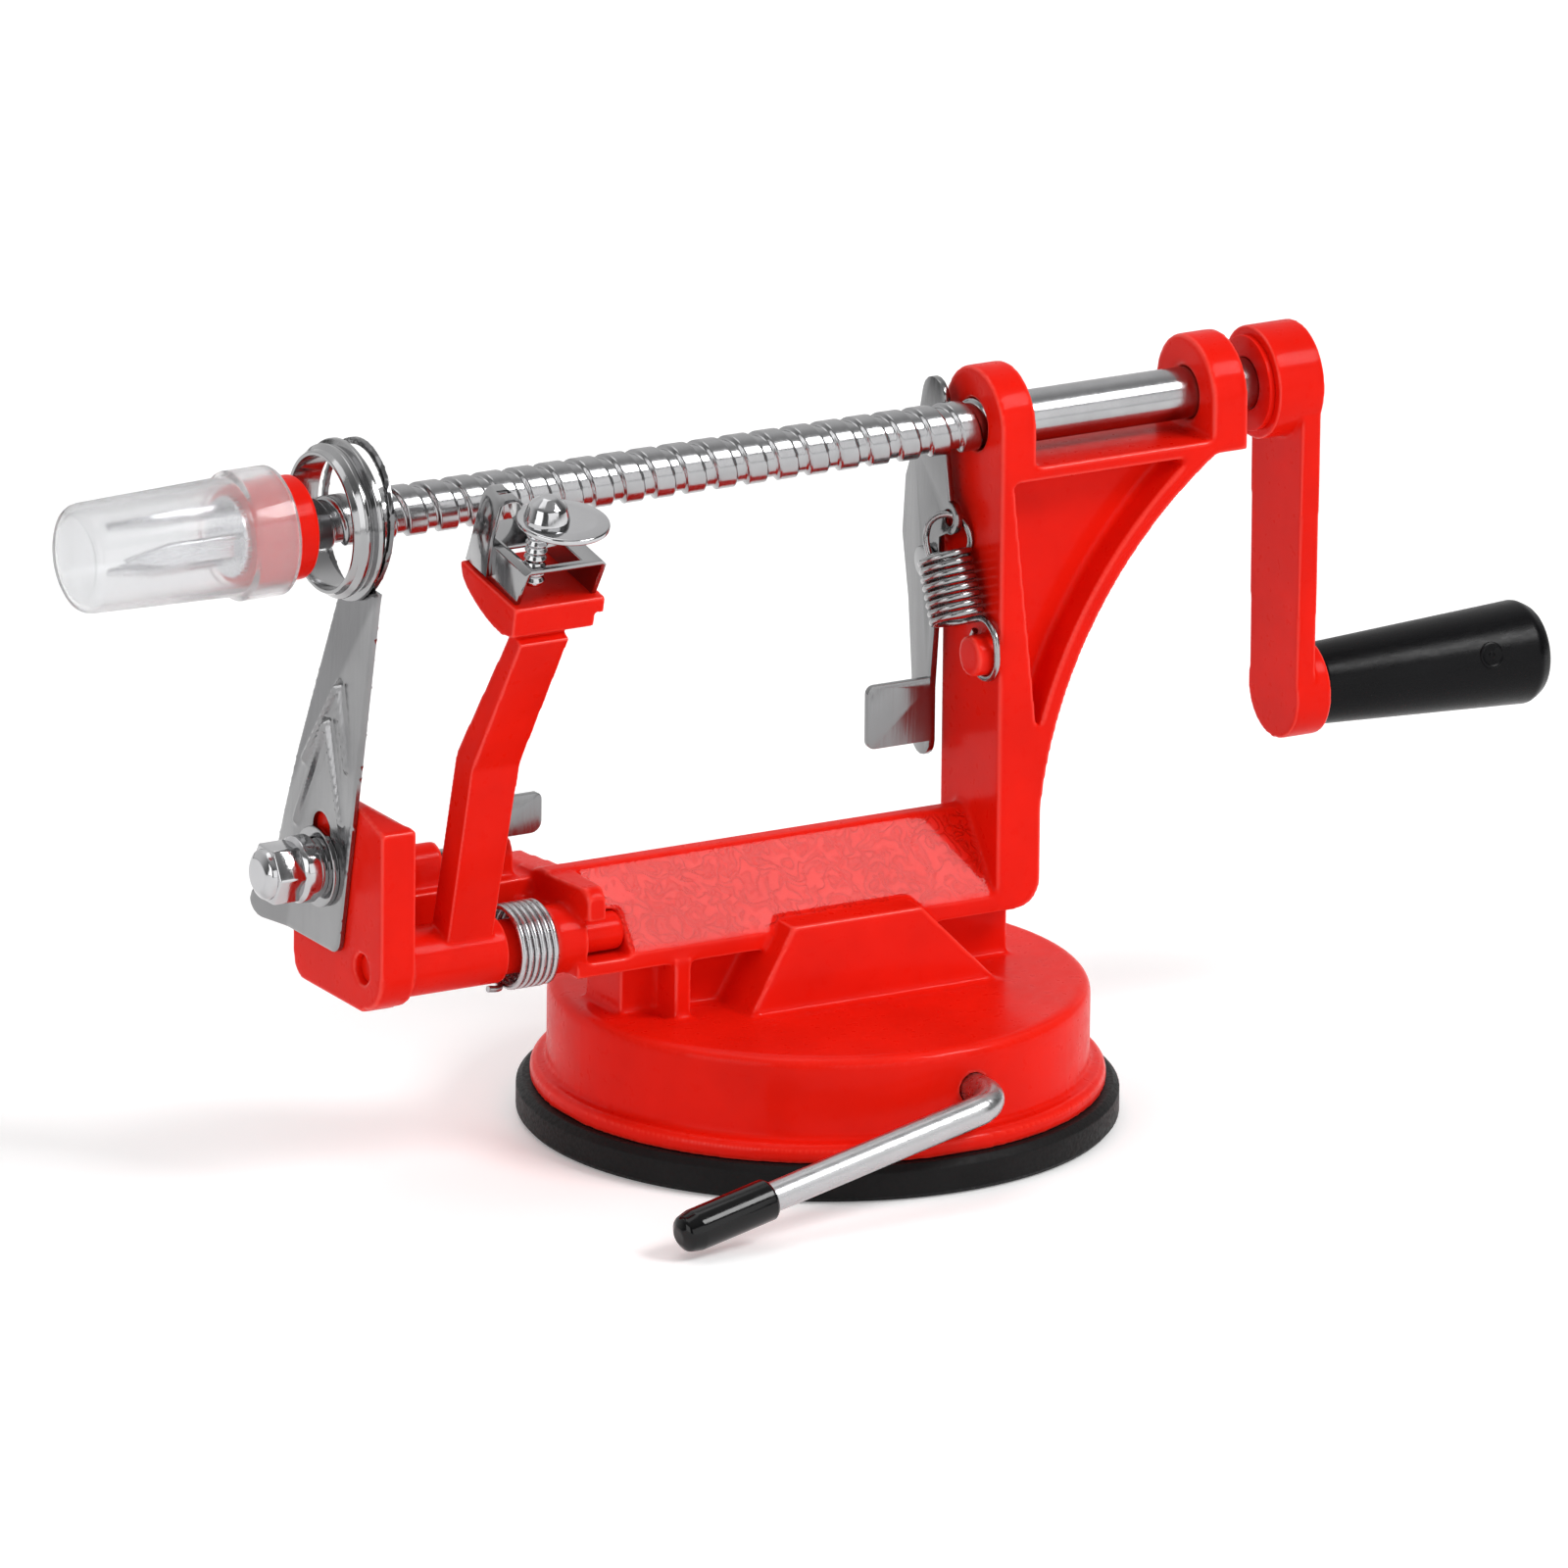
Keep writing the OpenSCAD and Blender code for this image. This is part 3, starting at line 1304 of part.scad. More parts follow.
module arm_latch() {
  top = latch_z + latch_h;
  front = latch_y - latch_lean;
  color(steel) {
    along_x(latch_x, latch_t) difference() {
      union() {
        translate([latch_y, latch_z]) circle(r = latch_eye_r);
        polygon([
          [latch_y - latch_eye_r + 0.2, latch_z], [front, top - latch_tab_h], [front, top],
          [front + latch_strip_w, top], [latch_y + latch_eye_r - 0.2, latch_z]
        ]);
      }
      translate([latch_y, latch_z]) circle(r = latch_pin_d / 2 + run);
    }
    block([latch_x, front, top - latch_tab_h], [latch_x + latch_tab_l, front + latch_t, top]);
  }
}

module latch_pin() {
  color(steel) {
    rod_x(latch_pin_d, latch_left_x, latch_right_x + latch_lug_t + latch_head_t / 2, latch_y, latch_z);
    rod_x(latch_pin_d + 2 * latch_head_w, latch_left_x - latch_head_t, latch_left_x, latch_y, latch_z);
  }
}

frame();
suction_pad();
suction_stem();
suction_lever();
lever_tip();
lever_clip();
drive_shaft();
fork_collar();
fork();
fork_cap();
thrust_washer();
crank_arm();
crank_screw();
grip_spindle();
crank_grip();
feed_lever();
feed_lever_screw();
feed_spring();
slicer_blade();
coring_ring();
slicer_bolt();
slicer_washer();
slicer_lock_washer();
slicer_nut();
peel_arm();
arm_pivot_pin();
torsion_spring();
blade_bracket();
peel_blade();
thumb_screw();
arm_latch();
latch_pin();
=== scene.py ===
"""Looks of a hand-cranked apple peeler on a suction base.

Lengths in the tables below are millimetres in the part's own frame; meshes are in metres.
"""

import math
from contextlib import contextmanager
from functools import partial

import bmesh
import bpy
from mathutils import Matrix, Vector, kdtree
from mathutils.geometry import delaunay_2d_cdt, intersect_point_line


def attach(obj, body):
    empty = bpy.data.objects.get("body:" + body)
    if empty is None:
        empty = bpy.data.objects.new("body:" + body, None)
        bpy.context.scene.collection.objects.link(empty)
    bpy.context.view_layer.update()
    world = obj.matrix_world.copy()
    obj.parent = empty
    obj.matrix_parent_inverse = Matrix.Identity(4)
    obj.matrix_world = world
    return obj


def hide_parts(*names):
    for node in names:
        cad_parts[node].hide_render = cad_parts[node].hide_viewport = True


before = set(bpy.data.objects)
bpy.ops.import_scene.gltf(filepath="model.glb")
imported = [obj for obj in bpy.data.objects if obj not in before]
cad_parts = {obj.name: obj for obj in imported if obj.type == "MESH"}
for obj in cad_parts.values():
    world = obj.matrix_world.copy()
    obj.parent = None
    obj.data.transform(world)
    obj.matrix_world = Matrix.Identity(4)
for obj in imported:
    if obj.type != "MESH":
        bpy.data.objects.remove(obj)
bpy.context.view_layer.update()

bl_info = {
    "name": "Apple Peeler Looks",
    "version": (1, 0, 0),
    "blender": (4, 5, 0),
    "location": "View3D > Sidebar > Peeler",
    "description": "Finishes and detailed pieces for a hand-cranked apple peeler",
    "category": "Object",
}

MM = 0.001
X, Y, Z = (Vector(row) for row in Matrix.Identity(3))
ORIGIN = (0, 0)
QUARTER = math.pi / 2

# Places along the shaft and heights, repeated from the part's source
AXIS_Z = 126.0
AXIS = (0, AXIS_Z)
GRIP_AXIS = (0, 66.5)
PLATE_LEFT = -98.7
PLATE_T = 1.2
RING_X = -103.7
COLLAR_RIGHT = -108.6
COLLAR_LEFT = -121.6
CAP_RIGHT = -113.6
CAP_LEFT = -153.6
CAP_BAND = 8.7
CAP_T = 1.2
THREAD_X = -108.1
THREAD_END = 33.0
GROOVE_X = 28.1
PITCH = 6.35
SHAFT_RIGHT = 96.9
SHAFT_LEFT = -119.6
SHAFT_R = 4.8
GRIP_X = 102.6
GRIP_END = 150.4
SPINDLE_X = 96.4
SPINDLE_END = 143.4
PIVOT = (-5.0, 42.5)
BOLT = (8.5, 58.5)
BOLT_HOLE_R = 3.02
NUT_X = -101.4
HEAD = (-73.6, -24.5, 118.0)
HEAD_TILT = math.radians(11)
LEVER_Z = 17.4
ROD_TURN = math.radians(5.5)
LEVER_DROOP = math.radians(10.5)
LEVER_LEN = 72.0
ROD_LINE_Y = -58.0

# Pressed ribs of the slicer plate, as the [y, z] points of their ends and a height
PLATE_RIBS = (
    ((1.4, 94.2), (14.4, 77.2), 1.6), ((1.4, 94.2), (-1.6, 79.5), 1.4),
    ((5.6, 86.4), (17.4, 64.8), 1.6), ((5.6, 86.4), (0.8, 68.5), 1.3),
)
RIB_WIDTH = 0.8
# The line where the plate's back edge turns away, and the slopes below and above its foot
PLATE_FOLD = ((-12.6, 114.0), (14.8, 77.0), (18.4, 64.0), (18.6, 52.0), (22.0, 40.0))
FOLD_SLOPES = (0.24, -0.1)
# Rounded corners of the lever's finger tab and of the latch's tab, as x, y, z and radius
TAB_CORNERS = ((14.5, 9.2, 64.0, 1.6), (14.5, 9.2, 76.0, 1.6))
LATCH_CORNERS = ((-56.2, 3.7, 67.8, 1.2), (-56.2, 3.7, 60.3, 2.2))

# Meshes: metres within which points are one, and the bevel of a small steel piece
WELD_CAD = 2e-6
WELD = 1e-7
SMALL_BEVEL = 0.0002
# Triangles of the frame and of a small casting, and small castings' voxels as shares of the frame's
FRAME_TRIANGLES = 190000
SMALL_TRIANGLES = 60000
ARM_VOXEL = 0.6
CRANK_VOXEL = 0.65


# Settings that a user would change


def colour_setting(name, description, default):
    return bpy.props.FloatVectorProperty(
        name=name, description=description, subtype="COLOR", size=3, min=0, max=1, default=default)


def number_setting(name, description, default, **more):
    return bpy.props.FloatProperty(name=name, description=description, default=default, **more)


length_setting = partial(number_setting, subtype="DISTANCE", unit="LENGTH")
angle_setting = partial(number_setting, subtype="ANGLE", unit="ROTATION")


class PeelerPaint(bpy.types.PropertyGroup):
    """Red enamel on the castings"""

    colour: colour_setting("Colour", "Enamel colour", (0.80, 0.0105, 0.0036))
    shade: colour_setting("Shade", "Colour of thicker, darker enamel", (0.64, 0.0074, 0.0026))
    edge_round: length_setting(
        "Voxel", "Step of the mesh that rounds the casting's edges", 0.0005, min=0.0003, max=0.002)
    peel_size: number_setting(
        "Peel", "Ripples per metre of the enamel's orange peel", 520, min=50, max=3000)


class PeelerMetal(bpy.types.PropertyGroup):
    """Bright metal"""

    steel: colour_setting("Steel", "Colour of the sheet steel", (0.36, 0.36, 0.365))
    chrome: colour_setting("Chrome", "Colour of the plated bars", (0.50, 0.50, 0.51))
    sheet_edge: length_setting(
        "Sheet edge", "Bevel on the edges of the sheet pieces", 0.00018, min=0.00005, max=0.0005)
    turns: bpy.props.IntProperty(
        name="Sides", description="Sides of a turned piece", min=24, max=256, default=112)


class PeelerPlastic(bpy.types.PropertyGroup):
    """Rubber, plastic and the clear cap"""

    grip: colour_setting("Grip", "Colour of the moulded grip", (0.0026, 0.0026, 0.0031))
    rubber: colour_setting("Rubber", "Colour of the suction pad", (0.0065, 0.0063, 0.0065))
    clear: colour_setting("Clear", "Tint of the cap", (0.95, 0.955, 0.965))


class PeelerStage(bpy.types.PropertyGroup):
    """Camera and light"""

    azimuth: angle_setting("Azimuth", "Camera's angle round the object", math.radians(-29.5))
    elevation: angle_setting("Elevation", "Camera's angle above the table", math.radians(17.3))
    roll: angle_setting("Roll", "Camera's roll", math.radians(0.6))
    distance: length_setting("Distance", "Camera's distance", 5.0)
    lens: number_setting("Lens", "Focal length in millimetres on a 36 mm sensor", 632.82)
    target: bpy.props.FloatVectorProperty(
        name="Target", description="Point in the middle of the picture", subtype="XYZ",
        unit="LENGTH", size=3, default=(-0.00769, 0.0, 0.06318))
    key: number_setting("Key", "Power of the main light", 26.5, unit="POWER")
    fill: number_setting("Fill", "Power of the front light", 15.0, unit="POWER")


# Mesh helpers


def new_object(name, data):
    obj = bpy.data.objects.new(name, data)
    bpy.context.scene.collection.objects.link(obj)
    return obj


@contextmanager
def editing(mesh):
    """A mesh opened for editing, and written back at the end."""
    bm = bmesh.new()
    bm.from_mesh(mesh)
    yield bm
    bm.to_mesh(mesh)
    bm.free()


def object_from(name, verts, faces):
    """A mesh object from points in millimetres, with doubles merged and faces turned outwards."""
    mesh = bpy.data.meshes.new(name)
    mesh.from_pydata([Vector(v) * MM for v in verts], [], faces)
    with editing(mesh) as bm:
        bmesh.ops.remove_doubles(bm, verts=bm.verts, dist=WELD)
        bmesh.ops.dissolve_degenerate(bm, edges=bm.edges, dist=WELD)
        bmesh.ops.recalc_face_normals(bm, faces=bm.faces)
    return new_object(name, mesh)


def smooth(obj, angle=35):
    obj.data.polygons.foreach_set("use_smooth", [True] * len(obj.data.polygons))
    obj.data.set_sharp_from_angle(angle=math.radians(angle))
    return obj


def modify(obj, kind, **values):
    step = obj.modifiers.new(kind.lower(), kind)
    for key, value in values.items():
        setattr(step, key, value)


def settle(obj):
    """Applies an object's modifiers to its mesh."""
    depsgraph = bpy.context.evaluated_depsgraph_get()
    made = bpy.data.meshes.new_from_object(obj.evaluated_get(depsgraph))
    obj.modifiers.clear()
    old = obj.data
    obj.data = made
    bpy.data.meshes.remove(old)
    return obj


def join(name, *parts):
    """One object from several."""
    bm = bmesh.new()
    for part in parts:
        bm.from_mesh(part.data)
    mesh = bpy.data.meshes.new(name)
    bm.to_mesh(mesh)
    bm.free()
    for part in parts:
        old = part.data
        bpy.data.objects.remove(part)
        bpy.data.meshes.remove(old)
    return new_object(name, mesh)


def node_copy(node, name):
    """A merged copy of a CAD node's mesh."""
    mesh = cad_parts[node].data.copy()
    mesh.name = name
    mesh.materials.clear()
    with editing(mesh) as bm:
        bmesh.ops.remove_doubles(bm, verts=bm.verts, dist=WELD_CAD)
    if "custom_normal" in mesh.attributes:
        mesh.attributes.remove(mesh.attributes["custom_normal"])
    return new_object(name, mesh)


def mark_edges(obj):
    """Stores how far each vertex stands out from its neighbours: high along the outer edges."""
    bm = bmesh.new()
    bm.from_mesh(obj.data)
    stands = []
    for vert in bm.verts:
        ways = [(e.other_vert(vert).co - vert.co).normalized() for e in vert.link_edges]
        stands.append(-sum(vert.normal.dot(way) for way in ways) / max(len(ways), 1))
    bm.free()
    marks = obj.data.attributes.new("edge_wear", "FLOAT", "POINT")
    marks.data.foreach_set("value", stands)


def cast_copy(node, name, voxel, triangles, *plugs):
    """A copy with rounded edges, as cast metal under enamel has. Plugs fill holes."""
    obj = node_copy(node, name)
    if plugs:
        obj = join(name, obj, *plugs)
    modify(obj, "REMESH", mode="VOXEL", voxel_size=voxel)
    modify(obj, "SMOOTH", factor=0.5, iterations=10)
    mark_edges(settle(obj))
    count = sum(len(face.vertices) - 2 for face in obj.data.polygons)
    modify(obj, "DECIMATE", ratio=min(1.0, triangles / count))
    smooth(settle(obj), 60)
    modify(obj, "WEIGHTED_NORMAL", weight=90, keep_sharp=True)
    return settle(obj)


def sheet_copy(node, name, width, corners=()):
    """A copy with flat faces joined and edges bevelled. A corner is (x, y, z, radius) in mm."""
    obj = node_copy(node, name)
    with editing(obj.data) as bm:
        bmesh.ops.dissolve_limit(
            bm, angle_limit=math.radians(0.6), verts=bm.verts, edges=bm.edges)
        for x, y, z, radius in corners:
            spot = Vector((x, y, z)) * MM
            near = [e for e in bm.edges if all((v.co - spot).length < MM for v in e.verts)]
            bmesh.ops.bevel(
                bm, geom=near, offset=radius * MM, segments=5, profile=0.5, affect="EDGES")
    modify(obj, "BEVEL", width=width, segments=2, limit_method="ANGLE",
           angle_limit=math.radians(35), use_clamp_overlap=True)
    return smooth(settle(obj), 40)


def filleted(points, steps=4):
    """A closed profile of [radius, along, fillet] points with its corners rounded."""
    made = []
    for i, point in enumerate(points):
        here = Vector(point[:2])
        a = Vector(points[i - 1][:2]) - here
        b = Vector(points[(i + 1) % len(points)][:2]) - here
        half = a.angle(b) / 2 if min(a.length, b.length) > 1e-6 else 0
        if point[2] <= 0 or not math.radians(4) <= half <= math.radians(88):
            made.append(here)
            continue
        cut = min(point[2] / math.tan(half), a.length * 0.45, b.length * 0.45)
        start, end = here + a.normalized() * cut, here + b.normalized() * cut
        for k in range(steps + 1):
            t = k / steps
            made.append(start * (1 - t) ** 2 + here * 2 * t * (1 - t) + end * t * t)
    return made


def bar(radius, start, end, first=0.3, last=0.3):
    """Profile of a solid round bar, with a fillet at each end."""
    return [[0, start, 0], [radius, start, first], [radius, end, last], [0, end, 0]]


def washer(inner, outer, start, end, fillet=0.25):
    """Profile of a flat ring."""
    return [[r, x, fillet] for r, x in (
        (inner, start), (outer, start), (outer, end), (inner, end))]


def turned(name, points, centre=AXIS, matrix=None):
    """A turned piece from a closed profile about an axis along X, or along a matrix's X."""
    sides = bpy.context.scene.peeler_metal.turns
    profile = filleted(points)
    verts, faces = [], []
    count = len(profile)
    for k in range(sides):
        a = 2 * math.pi * k / sides
        for p in profile:
            r = max(p[0], 0.0)
            spot = (p[1], centre[0] + r * math.cos(a), centre[1] + r * math.sin(a))
            verts.append(Vector(spot))
        for i in range(count):
            j, m = (i + 1) % count, (k + 1) % sides
            if profile[i][0] > 0 or profile[j][0] > 0:
                faces.append((k * count + i, k * count + j, m * count + j, m * count + i))
    if matrix is not None:
        verts = [matrix @ v for v in verts]
    return smooth(object_from(name, verts, faces))


def prism(name, low, high, bevel):
    """A solid between two outlines with as many points, its edges bevelled."""
    count = len(low)
    after = [(i + 1) % count for i in range(count)]
    faces = [tuple(range(count)), tuple(range(count, 2 * count))]
    faces += [(i, j, count + j, count + i) for i, j in enumerate(after)]
    obj = object_from(name, [*low, *high], faces)
    modify(obj, "BEVEL", width=bevel * MM, segments=3)
    return smooth(settle(obj))


shift = Matrix.Translation


def rotation(angle, axis):
    return Matrix.Rotation(angle, 4, axis)


def arc(centre, radius, u, v, angles):
    """Points on a circle in the plane of u and v, at angles in degrees."""
    turns = [math.radians(a) for a in angles]
    return [Vector(centre) + radius * (math.cos(a) * u + math.sin(a) * v) for a in turns]


def place(obj, body, slot, material, *nodes):
    """Hands a finished piece over: finish, body and the CAD nodes that it stands for."""
    obj.data.materials.clear()
    obj.data.materials.append(material)
    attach(obj, body)
    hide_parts(*nodes)


# Node helpers


def kept(store, name):
    """Builds a node group or material once, and finds it by name after that."""
    def wrap(build):
        return lambda: getattr(bpy.data, store).get(name) or build(name)
    return wrap


def feed(tree, source, socket):
    """Links a socket to an input, or sets the input's plain value."""
    if isinstance(source, bpy.types.NodeSocket):
        tree.links.new(source, socket)
    else:
        socket.default_value = source


def add(tree, kind, feeds=(), **values):
    """Adds a node and gives back its outputs. feeds gives inputs their socket or plain value."""
    node = tree.nodes.new(kind)
    for key, value in values.items():
        setattr(node, key, value)
    for key, source in dict(feeds).items():
        feed(tree, source, node.inputs[key])
    return node.outputs


def maths(tree, operation, *sources):
    return add(tree, "ShaderNodeMath", enumerate(sources), operation=operation)[0]


def ramp(tree, source, low, high, start=0.0, end=1.0, kind="SMOOTHSTEP"):
    return add(tree, "ShaderNodeMapRange", {
        "Value": source, "From Min": low, "From Max": high, "To Min": start, "To Max": end,
    }, interpolation_type=kind)["Result"]


def mixed(tree, factor, a, b):
    feeds = {"Factor": factor, "A": a, "B": b}
    return add(tree, "ShaderNodeMix", feeds, data_type="RGBA")["Result"]


def object_spot(tree):
    return add(tree, "ShaderNodeTexCoord")["Object"]


def new_material(name):
    made = bpy.data.materials.new(name)
    made.use_nodes = True
    return made, made.node_tree


def shader_of(tree):
    return tree.nodes["Principled BSDF"].inputs


def dress(tree, **feeds):
    """Links or sets inputs of a material's shader."""
    for label, source in feeds.items():
        feed(tree, source, shader_of(tree)[label.replace("_", " ")])


def group(name, family, inputs, outputs):
    """A new node group and its inputs' sockets, from (name, kind, value) and (name, kind)."""
    tree = bpy.data.node_groups.new(name, family)
    for label, kind in outputs:
        tree.interface.new_socket(label, in_out="OUTPUT", socket_type="NodeSocket" + kind)
    for label, kind, value in inputs:
        made = tree.interface.new_socket(label, in_out="INPUT", socket_type="NodeSocket" + kind)
        if value is not None:
            made.default_value = value
    return tree, tree.nodes.new("NodeGroupInput").outputs


# Geometry node trees


def geometry_group(name, inputs):
    shape = ("Geometry", "Geometry")
    ends = [(*shape, None), *inputs, ("Material", "Material", None)]
    return group(name, "GeometryNodeTree", ends, [shape])


def hand_out(tree, geometry, material):
    """Ends a tree: real geometry with its material."""
    real = add(tree, "GeometryNodeRealizeInstances", {"Geometry": geometry})[0]
    paint = add(tree, "GeometryNodeSetMaterial", {"Geometry": real, "Material": material})[0]
    add(tree, "NodeGroupOutput", {"Geometry": paint})
    return tree


@kept("node_groups", "Wire Along Path")
def wire_tree(name):
    """Round wire along a path: smooth curve, round section, capped ends."""
    tree, given = geometry_group(name, [
        ("Wire Radius", "Float", 0.0005), ("Sides", "Int", 14), ("Steps", "Int", 6)])
    line = add(tree, "GeometryNodeMeshToCurve", {"Mesh": given["Geometry"]})[0]
    curve = add(tree, "GeometryNodeCurveSplineType", {"Curve": line}, spline_type="CATMULL_ROM")[0]
    fine = add(tree, "GeometryNodeSetSplineResolution", {
        "Geometry": curve, "Resolution": given["Steps"]})[0]
    section = add(tree, "GeometryNodeCurvePrimitiveCircle", {
        "Resolution": given["Sides"], "Radius": given["Wire Radius"]})["Curve"]
    sweep = add(tree, "GeometryNodeCurveToMesh", {
        "Curve": fine, "Profile Curve": section, "Fill Caps": True})[0]
    shade = add(tree, "GeometryNodeSetShadeSmooth", {"Geometry": sweep})[0]
    return hand_out(tree, shade, given["Material"])


@kept("node_groups", "Lead Screw")
def screw_tree(name):
    """Lead screw: a rolled-up grid whose radius dips along a helix."""
    tree, given = geometry_group(name, [
        ("Left", "Float", THREAD_X * MM), ("Length", "Float", (THREAD_END - THREAD_X) * MM),
        ("Axis Height", "Float", AXIS_Z * MM), ("Crest Radius", "Float", 4.75 * MM),
        ("Groove Depth", "Float", 0.75 * MM), ("Groove Half Width", "Float", 1.45 * MM),
        ("Flank", "Float", 0.55 * MM), ("Pitch", "Float", PITCH * MM),
        ("Groove At", "Float", GROOVE_X * MM), ("Rows", "Int", 640), ("Sides", "Int", 97),
    ])
    does = partial(maths, tree)
    grid = add(tree, "GeometryNodeMeshGrid", {
        "Size X": 1, "Size Y": 1, "Vertices X": given["Rows"], "Vertices Y": given["Sides"]})[0]
    at = add(tree, "ShaderNodeSeparateXYZ", {0: add(tree, "GeometryNodeInputPosition")[0]})
    turn = does("ADD", at["Y"], 0.5)
    share = does("ADD", at["X"], 0.5)
    along = does("ADD", given["Left"], does("MULTIPLY", share, given["Length"]))
    # How far each point is from the middle of the groove, along the shaft
    laps = does("DIVIDE", does("SUBTRACT", along, given["Groove At"]), given["Pitch"])
    lap = does("FRACT", does("ADD", does("SUBTRACT", laps, turn), 100.5))
    off = does("MULTIPLY", does("ABSOLUTE", does("SUBTRACT", lap, 0.5)), given["Pitch"])
    half = given["Groove Half Width"]
    slope = ramp(tree, off, does("SUBTRACT", half, given["Flank"]), half)
    drop = does("MULTIPLY", does("SUBTRACT", 1.0, slope), given["Groove Depth"])
    radius = does("SUBTRACT", given["Crest Radius"], drop)
    angle = does("MULTIPLY", turn, 2 * math.pi)
    rise = does("MULTIPLY", radius, does("SINE", angle))
    spot = add(tree, "ShaderNodeCombineXYZ", {
        "X": along, "Y": does("MULTIPLY", radius, does("COSINE", angle)),
        "Z": does("ADD", rise, given["Axis Height"])})[0]
    roll = add(tree, "GeometryNodeSetPosition", {"Geometry": grid, "Position": spot})[0]
    close = add(tree, "GeometryNodeMergeByDistance", {"Geometry": roll, "Distance": 1e-6})[0]
    shade = add(tree, "GeometryNodeSetShadeSmooth", {"Geometry": close})[0]
    return hand_out(tree, shade, given["Material"])


@kept("node_groups", "Round The Shaft")
def ring_tree(name):
    """Copies of one piece set round the shaft."""
    tree, given = geometry_group(name, [
        ("Count", "Int", 3), ("First Angle", "Float", 0.0), ("Axis Height", "Float", AXIS_Z * MM)])
    line = add(tree, "GeometryNodeMeshLine", {"Offset": (0, 0, 0), "Count": given["Count"]})[0]
    share = maths(tree, "DIVIDE", add(tree, "GeometryNodeInputIndex")[0], given["Count"])
    angle = maths(tree, "MULTIPLY_ADD", share, 2 * math.pi, given["First Angle"])
    copies = add(tree, "GeometryNodeInstanceOnPoints", {
        "Points": line, "Instance": given["Geometry"],
        "Rotation": add(tree, "ShaderNodeCombineXYZ", {"X": angle})[0]})[0]
    lift = add(tree, "ShaderNodeCombineXYZ", {"Z": given["Axis Height"]})[0]
    move = add(tree, "GeometryNodeTransform", {"Geometry": copies, "Translation": lift})[0]
    return hand_out(tree, move, given["Material"])


def grow(obj, tree, **values):
    """Runs a geometry node tree on an object and keeps its result as a plain mesh."""
    step = obj.modifiers.new(tree.name, "NODES")
    step.node_group = tree
    names = {s.name: s.identifier for s in tree.interface.items_tree
             if s.item_type == "SOCKET" and s.in_out == "INPUT"}
    for label, value in values.items():
        step[names[label.replace("_", " ")]] = value
    settle(obj)


def wire(name, points, radius, material, sides=14, steps=6):
    """Wire along points in millimetres."""
    mesh = bpy.data.meshes.new(name)
    spans = [(i, i + 1) for i in range(len(points) - 1)]
    mesh.from_pydata([Vector(p) * MM for p in points], spans, [])
    obj = new_object(name, mesh)
    grow(obj, wire_tree(), Wire_Radius=radius * MM, Sides=sides, Steps=steps, Material=material)
    return smooth(obj, 50)


# Finishes


@kept("node_groups", "Colour Drift")
def colour_drift(name):
    """Slow change between two shades over the surface."""
    tree, given = group(name, "ShaderNodeTree", [
        ("Colour", "Color", (1, 1, 1, 1)), ("Shade", "Color", (0.5, 0.5, 0.5, 1)),
        ("Scale", "Float", 60.0), ("Amount", "Float", 0.5),
    ], [("Colour", "Color")])
    noise = add(tree, "ShaderNodeTexNoise", {
        "Vector": object_spot(tree), "Scale": given["Scale"], "Detail": 3})["Fac"]
    much = maths(tree, "MULTIPLY", ramp(tree, noise, 0.35, 0.7, kind="LINEAR"), given["Amount"])
    add(tree, "NodeGroupOutput", {"Colour": mixed(tree, much, given["Colour"], given["Shade"])})
    return tree


@kept("node_groups", "Surface Grain")
def surface_grain(name):
    """Fine grain, stretched where the metal was drawn or brushed: a height and a roughness."""
    tree, given = group(name, "ShaderNodeTree", [
        ("Stretch", "Vector", (1, 1, 1)), ("Scale", "Float", 500.0),
        ("Smoothest", "Float", 0.2), ("Roughest", "Float", 0.4),
    ], [("Height", "Float"), ("Roughness", "Float")])
    pull = add(tree, "ShaderNodeVectorMath", {
        0: object_spot(tree), 1: given["Stretch"]}, operation="MULTIPLY")[0]
    noise = add(tree, "ShaderNodeTexNoise", {
        "Vector": pull, "Scale": given["Scale"], "Detail": 2, "Roughness": 0.5})["Fac"]
    level = ramp(tree, noise, 0.3, 0.7, given["Smoothest"], given["Roughest"], "LINEAR")
    add(tree, "NodeGroupOutput", {"Height": noise, "Roughness": level})
    return tree


def finish(name, colour, shade, drift, grain, bump, values):
    """A material from the two groups, with plain values on the shader's own sockets."""
    made, tree = new_material(name)
    tints = zip(("Colour", "Shade", "Scale", "Amount"), ((*colour, 1), (*shade, 1), *drift))
    tint = add(tree, "ShaderNodeGroup", tints, node_tree=colour_drift())
    grains = zip(("Stretch", "Scale", "Smoothest", "Roughest"), grain)
    skin = add(tree, "ShaderNodeGroup", grains, node_tree=surface_grain())
    rough = add(tree, "ShaderNodeBump", {
        "Strength": bump[0], "Distance": bump[1], "Height": skin["Height"]})["Normal"]
    dress(tree, Base_Color=tint["Colour"], Roughness=skin["Roughness"], Normal=rough,
          Coat_Roughness=0.09, **values)
    return made


